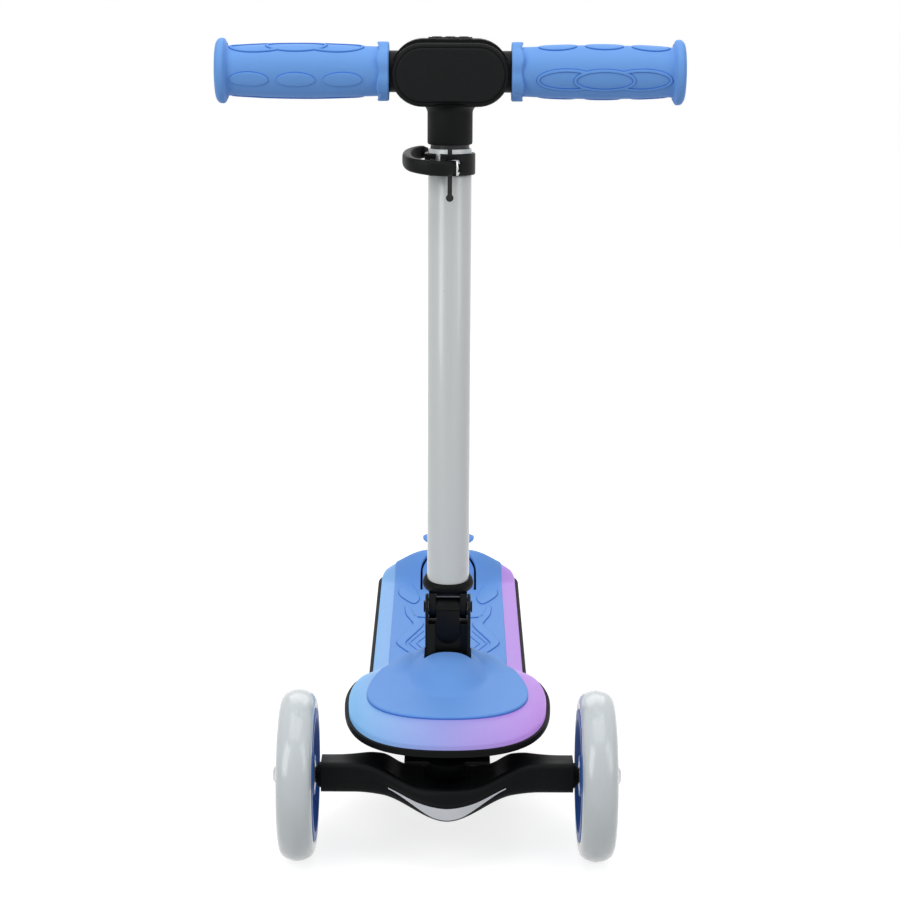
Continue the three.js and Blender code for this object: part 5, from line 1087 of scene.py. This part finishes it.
# The middle ring is whole; the outer two end where it passes over them.
ring_turns = (np.radians(np.linspace(53, 307, 90)), np.linspace(0, math.tau, 121),
              np.radians(np.linspace(-127, 127, 90)))
scallops, scallop_out = 6, 20.8
for side, label in ((1, "right"), (-1, "left")):
    facing = Matrix.Identity(4) if side > 0 else turned_by(180, "Z")
    sleeve_at = bar_at @ (facing @ across_x)
    section = [(0, grip_inner), (17.3, grip_inner), *grip_belly, (0, grip_outer)]
    grip = spin("rubber_grip_" + label, section, sleeve_at, 128, looped=False)
    scallop_rings = []
    for run, shy in ((0, 0.8), (0.8, 0), (6, 0), (6.9, 0.8)):
        scallop_rings.append([])
        for turn in around(180):
            wave = (1 + math.cos(scallops * turn)) / 2
            reach = scallop_out - 1.3 * wave**2 - shy
            x = grip_inner + run + (1.5 * (1 - wave) if run > 3 else 0)
            scallop_rings[-1].append(
                bar_at @ facing @ mm(x, reach * math.cos(turn), reach * math.sin(turn)))
    carve(grip, [flat_ended("cutter", scallop_rings)], "UNION")
    carve(grip, [rod(bar_bore, 42, grip_outer - 3.7, sleeve_at)])
    round_edges(grip, 0.0005, 40)
    dress(grip, grip_rubber, "handlebar", "blue_rubber", ["grip_" + label])
    finish_node("bar_tube_" + label, zinc_steel, 0.0003)

    def lay_on_grip(angle):
        def lay(u, v, height):
            radius = float(np.interp(u, grip_belly[:, 1], grip_belly[:, 0])) + height
            turn = math.radians(angle) + v / radius
            return np.array(bar_at @ mm(side * u, -radius * math.cos(turn), radius * math.sin(turn)))
        return lay

    # Four rows run round the sleeve: plain ovals and rings that overlap, turn about.
    plain_rows, ring_rows = ((73, -107), (-17, 163)) if side > 0 else ((-17, 163), (73, -107))
    for angle in plain_rows:
        for k in range(3):
            middle = oval_middle + (k - 1) * oval_pitch
            swing = np.linspace(-math.pi / 2, math.pi / 2, 41)
            course = [(middle + oval_half * t, 0) for t in np.sin(swing)]
            widths = [max(0.15, oval_rise * math.cos(t)) for t in swing]
            oval = raised("grip_oval_%s_%d_%d" % (label, angle % 360, k), course, widths,
                          lay_on_grip(angle), 0.9)
            dress(oval, grip_rubber, "handlebar", "blue_rubber")
    for angle in ring_rows:
        for k, turns in enumerate(ring_turns):
            middle = oval_middle + (k - 1) * ring_pitch
            course = [(middle + ring_half * math.cos(t), ring_rise * math.sin(t)) for t in turns]
            ring = raised("grip_ring_%s_%d_%d" % (label, angle % 360, k), course,
                          [1.05] * len(course), lay_on_grip(angle), 0.8, 0.45, (0,))
            dress(ring, grip_rubber, "handlebar", "blue_rubber")

# CAMERA, LIGHT AND FLOOR
# The view of the photograph: a long lens, a little above the grips and looking down 15 degrees.
camera = new_object("camera", bpy.data.cameras.new("camera"))
camera.data.lens = 88
camera.data.sensor_width = 36
camera.data.clip_start = 0.05
camera.matrix_world = (Matrix.Translation((0.001, front_axle.y - 1.437, 0.682))
                       @ turned_by(75, "X") @ Matrix.Rotation(0.0045, 4, "Z"))
bpy.context.scene.camera = camera


def lamp(name, place, target, size, watts):
    light = bpy.data.lights.new(name, "AREA")
    light.shape = "RECTANGLE"
    light.size, light.size_y = size
    light.energy = watts
    holder = new_object(name, light)
    holder.location = place
    holder.rotation_euler = (Vector(target) - Vector(place)).to_track_quat("-Z", "Y").to_euler()


lamp("left_softbox", (-1.3, -1.3, 1.2), (0, 0, 0.25), (0.8, 1.4), 11)
lamp("right_softbox", (1.5, -1.1, 1.3), (0, 0, 0.25), (0.8, 1.4), 7)
lamp("top_softbox", (0, -0.1, 1.9), (0, 0, 0.1), (1.6, 1.6), 11)
lamp("back_softbox", (0, 1.7, 1.2), (0, 0, 0.2), (1.6, 1.0), 6)

def seen_rays(tree):
    """One for what the camera sees, straight on or in gloss and glass."""
    path = add(tree, "LightPath")
    total = None
    for ray in ("Is Camera Ray", "Is Glossy Ray", "Is Transmission Ray"):
        step = add(tree, "Math", {1: 0}, operation="MAXIMUM")
        link(tree, path, ray, step, 0)
        if total:
            link(tree, total, 0, step, 1)
        total = step
    return total


world = bpy.data.worlds.new("studio")
bpy.context.scene.world = world
world.use_nodes = True
tree = world.node_tree
tree.nodes.clear()
choose = add(tree, "MixShader")
link(tree, seen_rays(tree), 0, choose, 0)
for into, strength in ((1, 0.4), (2, 1)):
    sky = add(tree, "Background", {"Color": (1, 1, 1, 1), "Strength": strength})
    link(tree, sky, "Background", choose, into)
link(tree, choose, "Shader", add(tree, "OutputWorld"), "Surface")

reach = 40
floor_mesh = bpy.data.meshes.new("floor")
floor_mesh.from_pydata([(x, y, -0.0005) for x, y in (
    (-reach, -reach), (reach, -reach), (reach, reach), (-reach, reach))], [], [(0, 1, 2, 3)])
floor = new_object("floor", floor_mesh)
paper, tree, shader = new_material("white_paper")
tune(shader, {"Base Color": (0.5, 0.5, 0.5, 1), "Roughness": 0.9, "Emission Color": (1, 1, 1, 1)})
fill = add(tree, "Math", {1: 0.74}, operation="MULTIPLY")
link(tree, seen_rays(tree), 0, fill, 0)
link(tree, fill, 0, shader, "Emission Strength")
floor_mesh.materials.append(paper)
bpy.context.scene.view_settings.view_transform = "Standard"
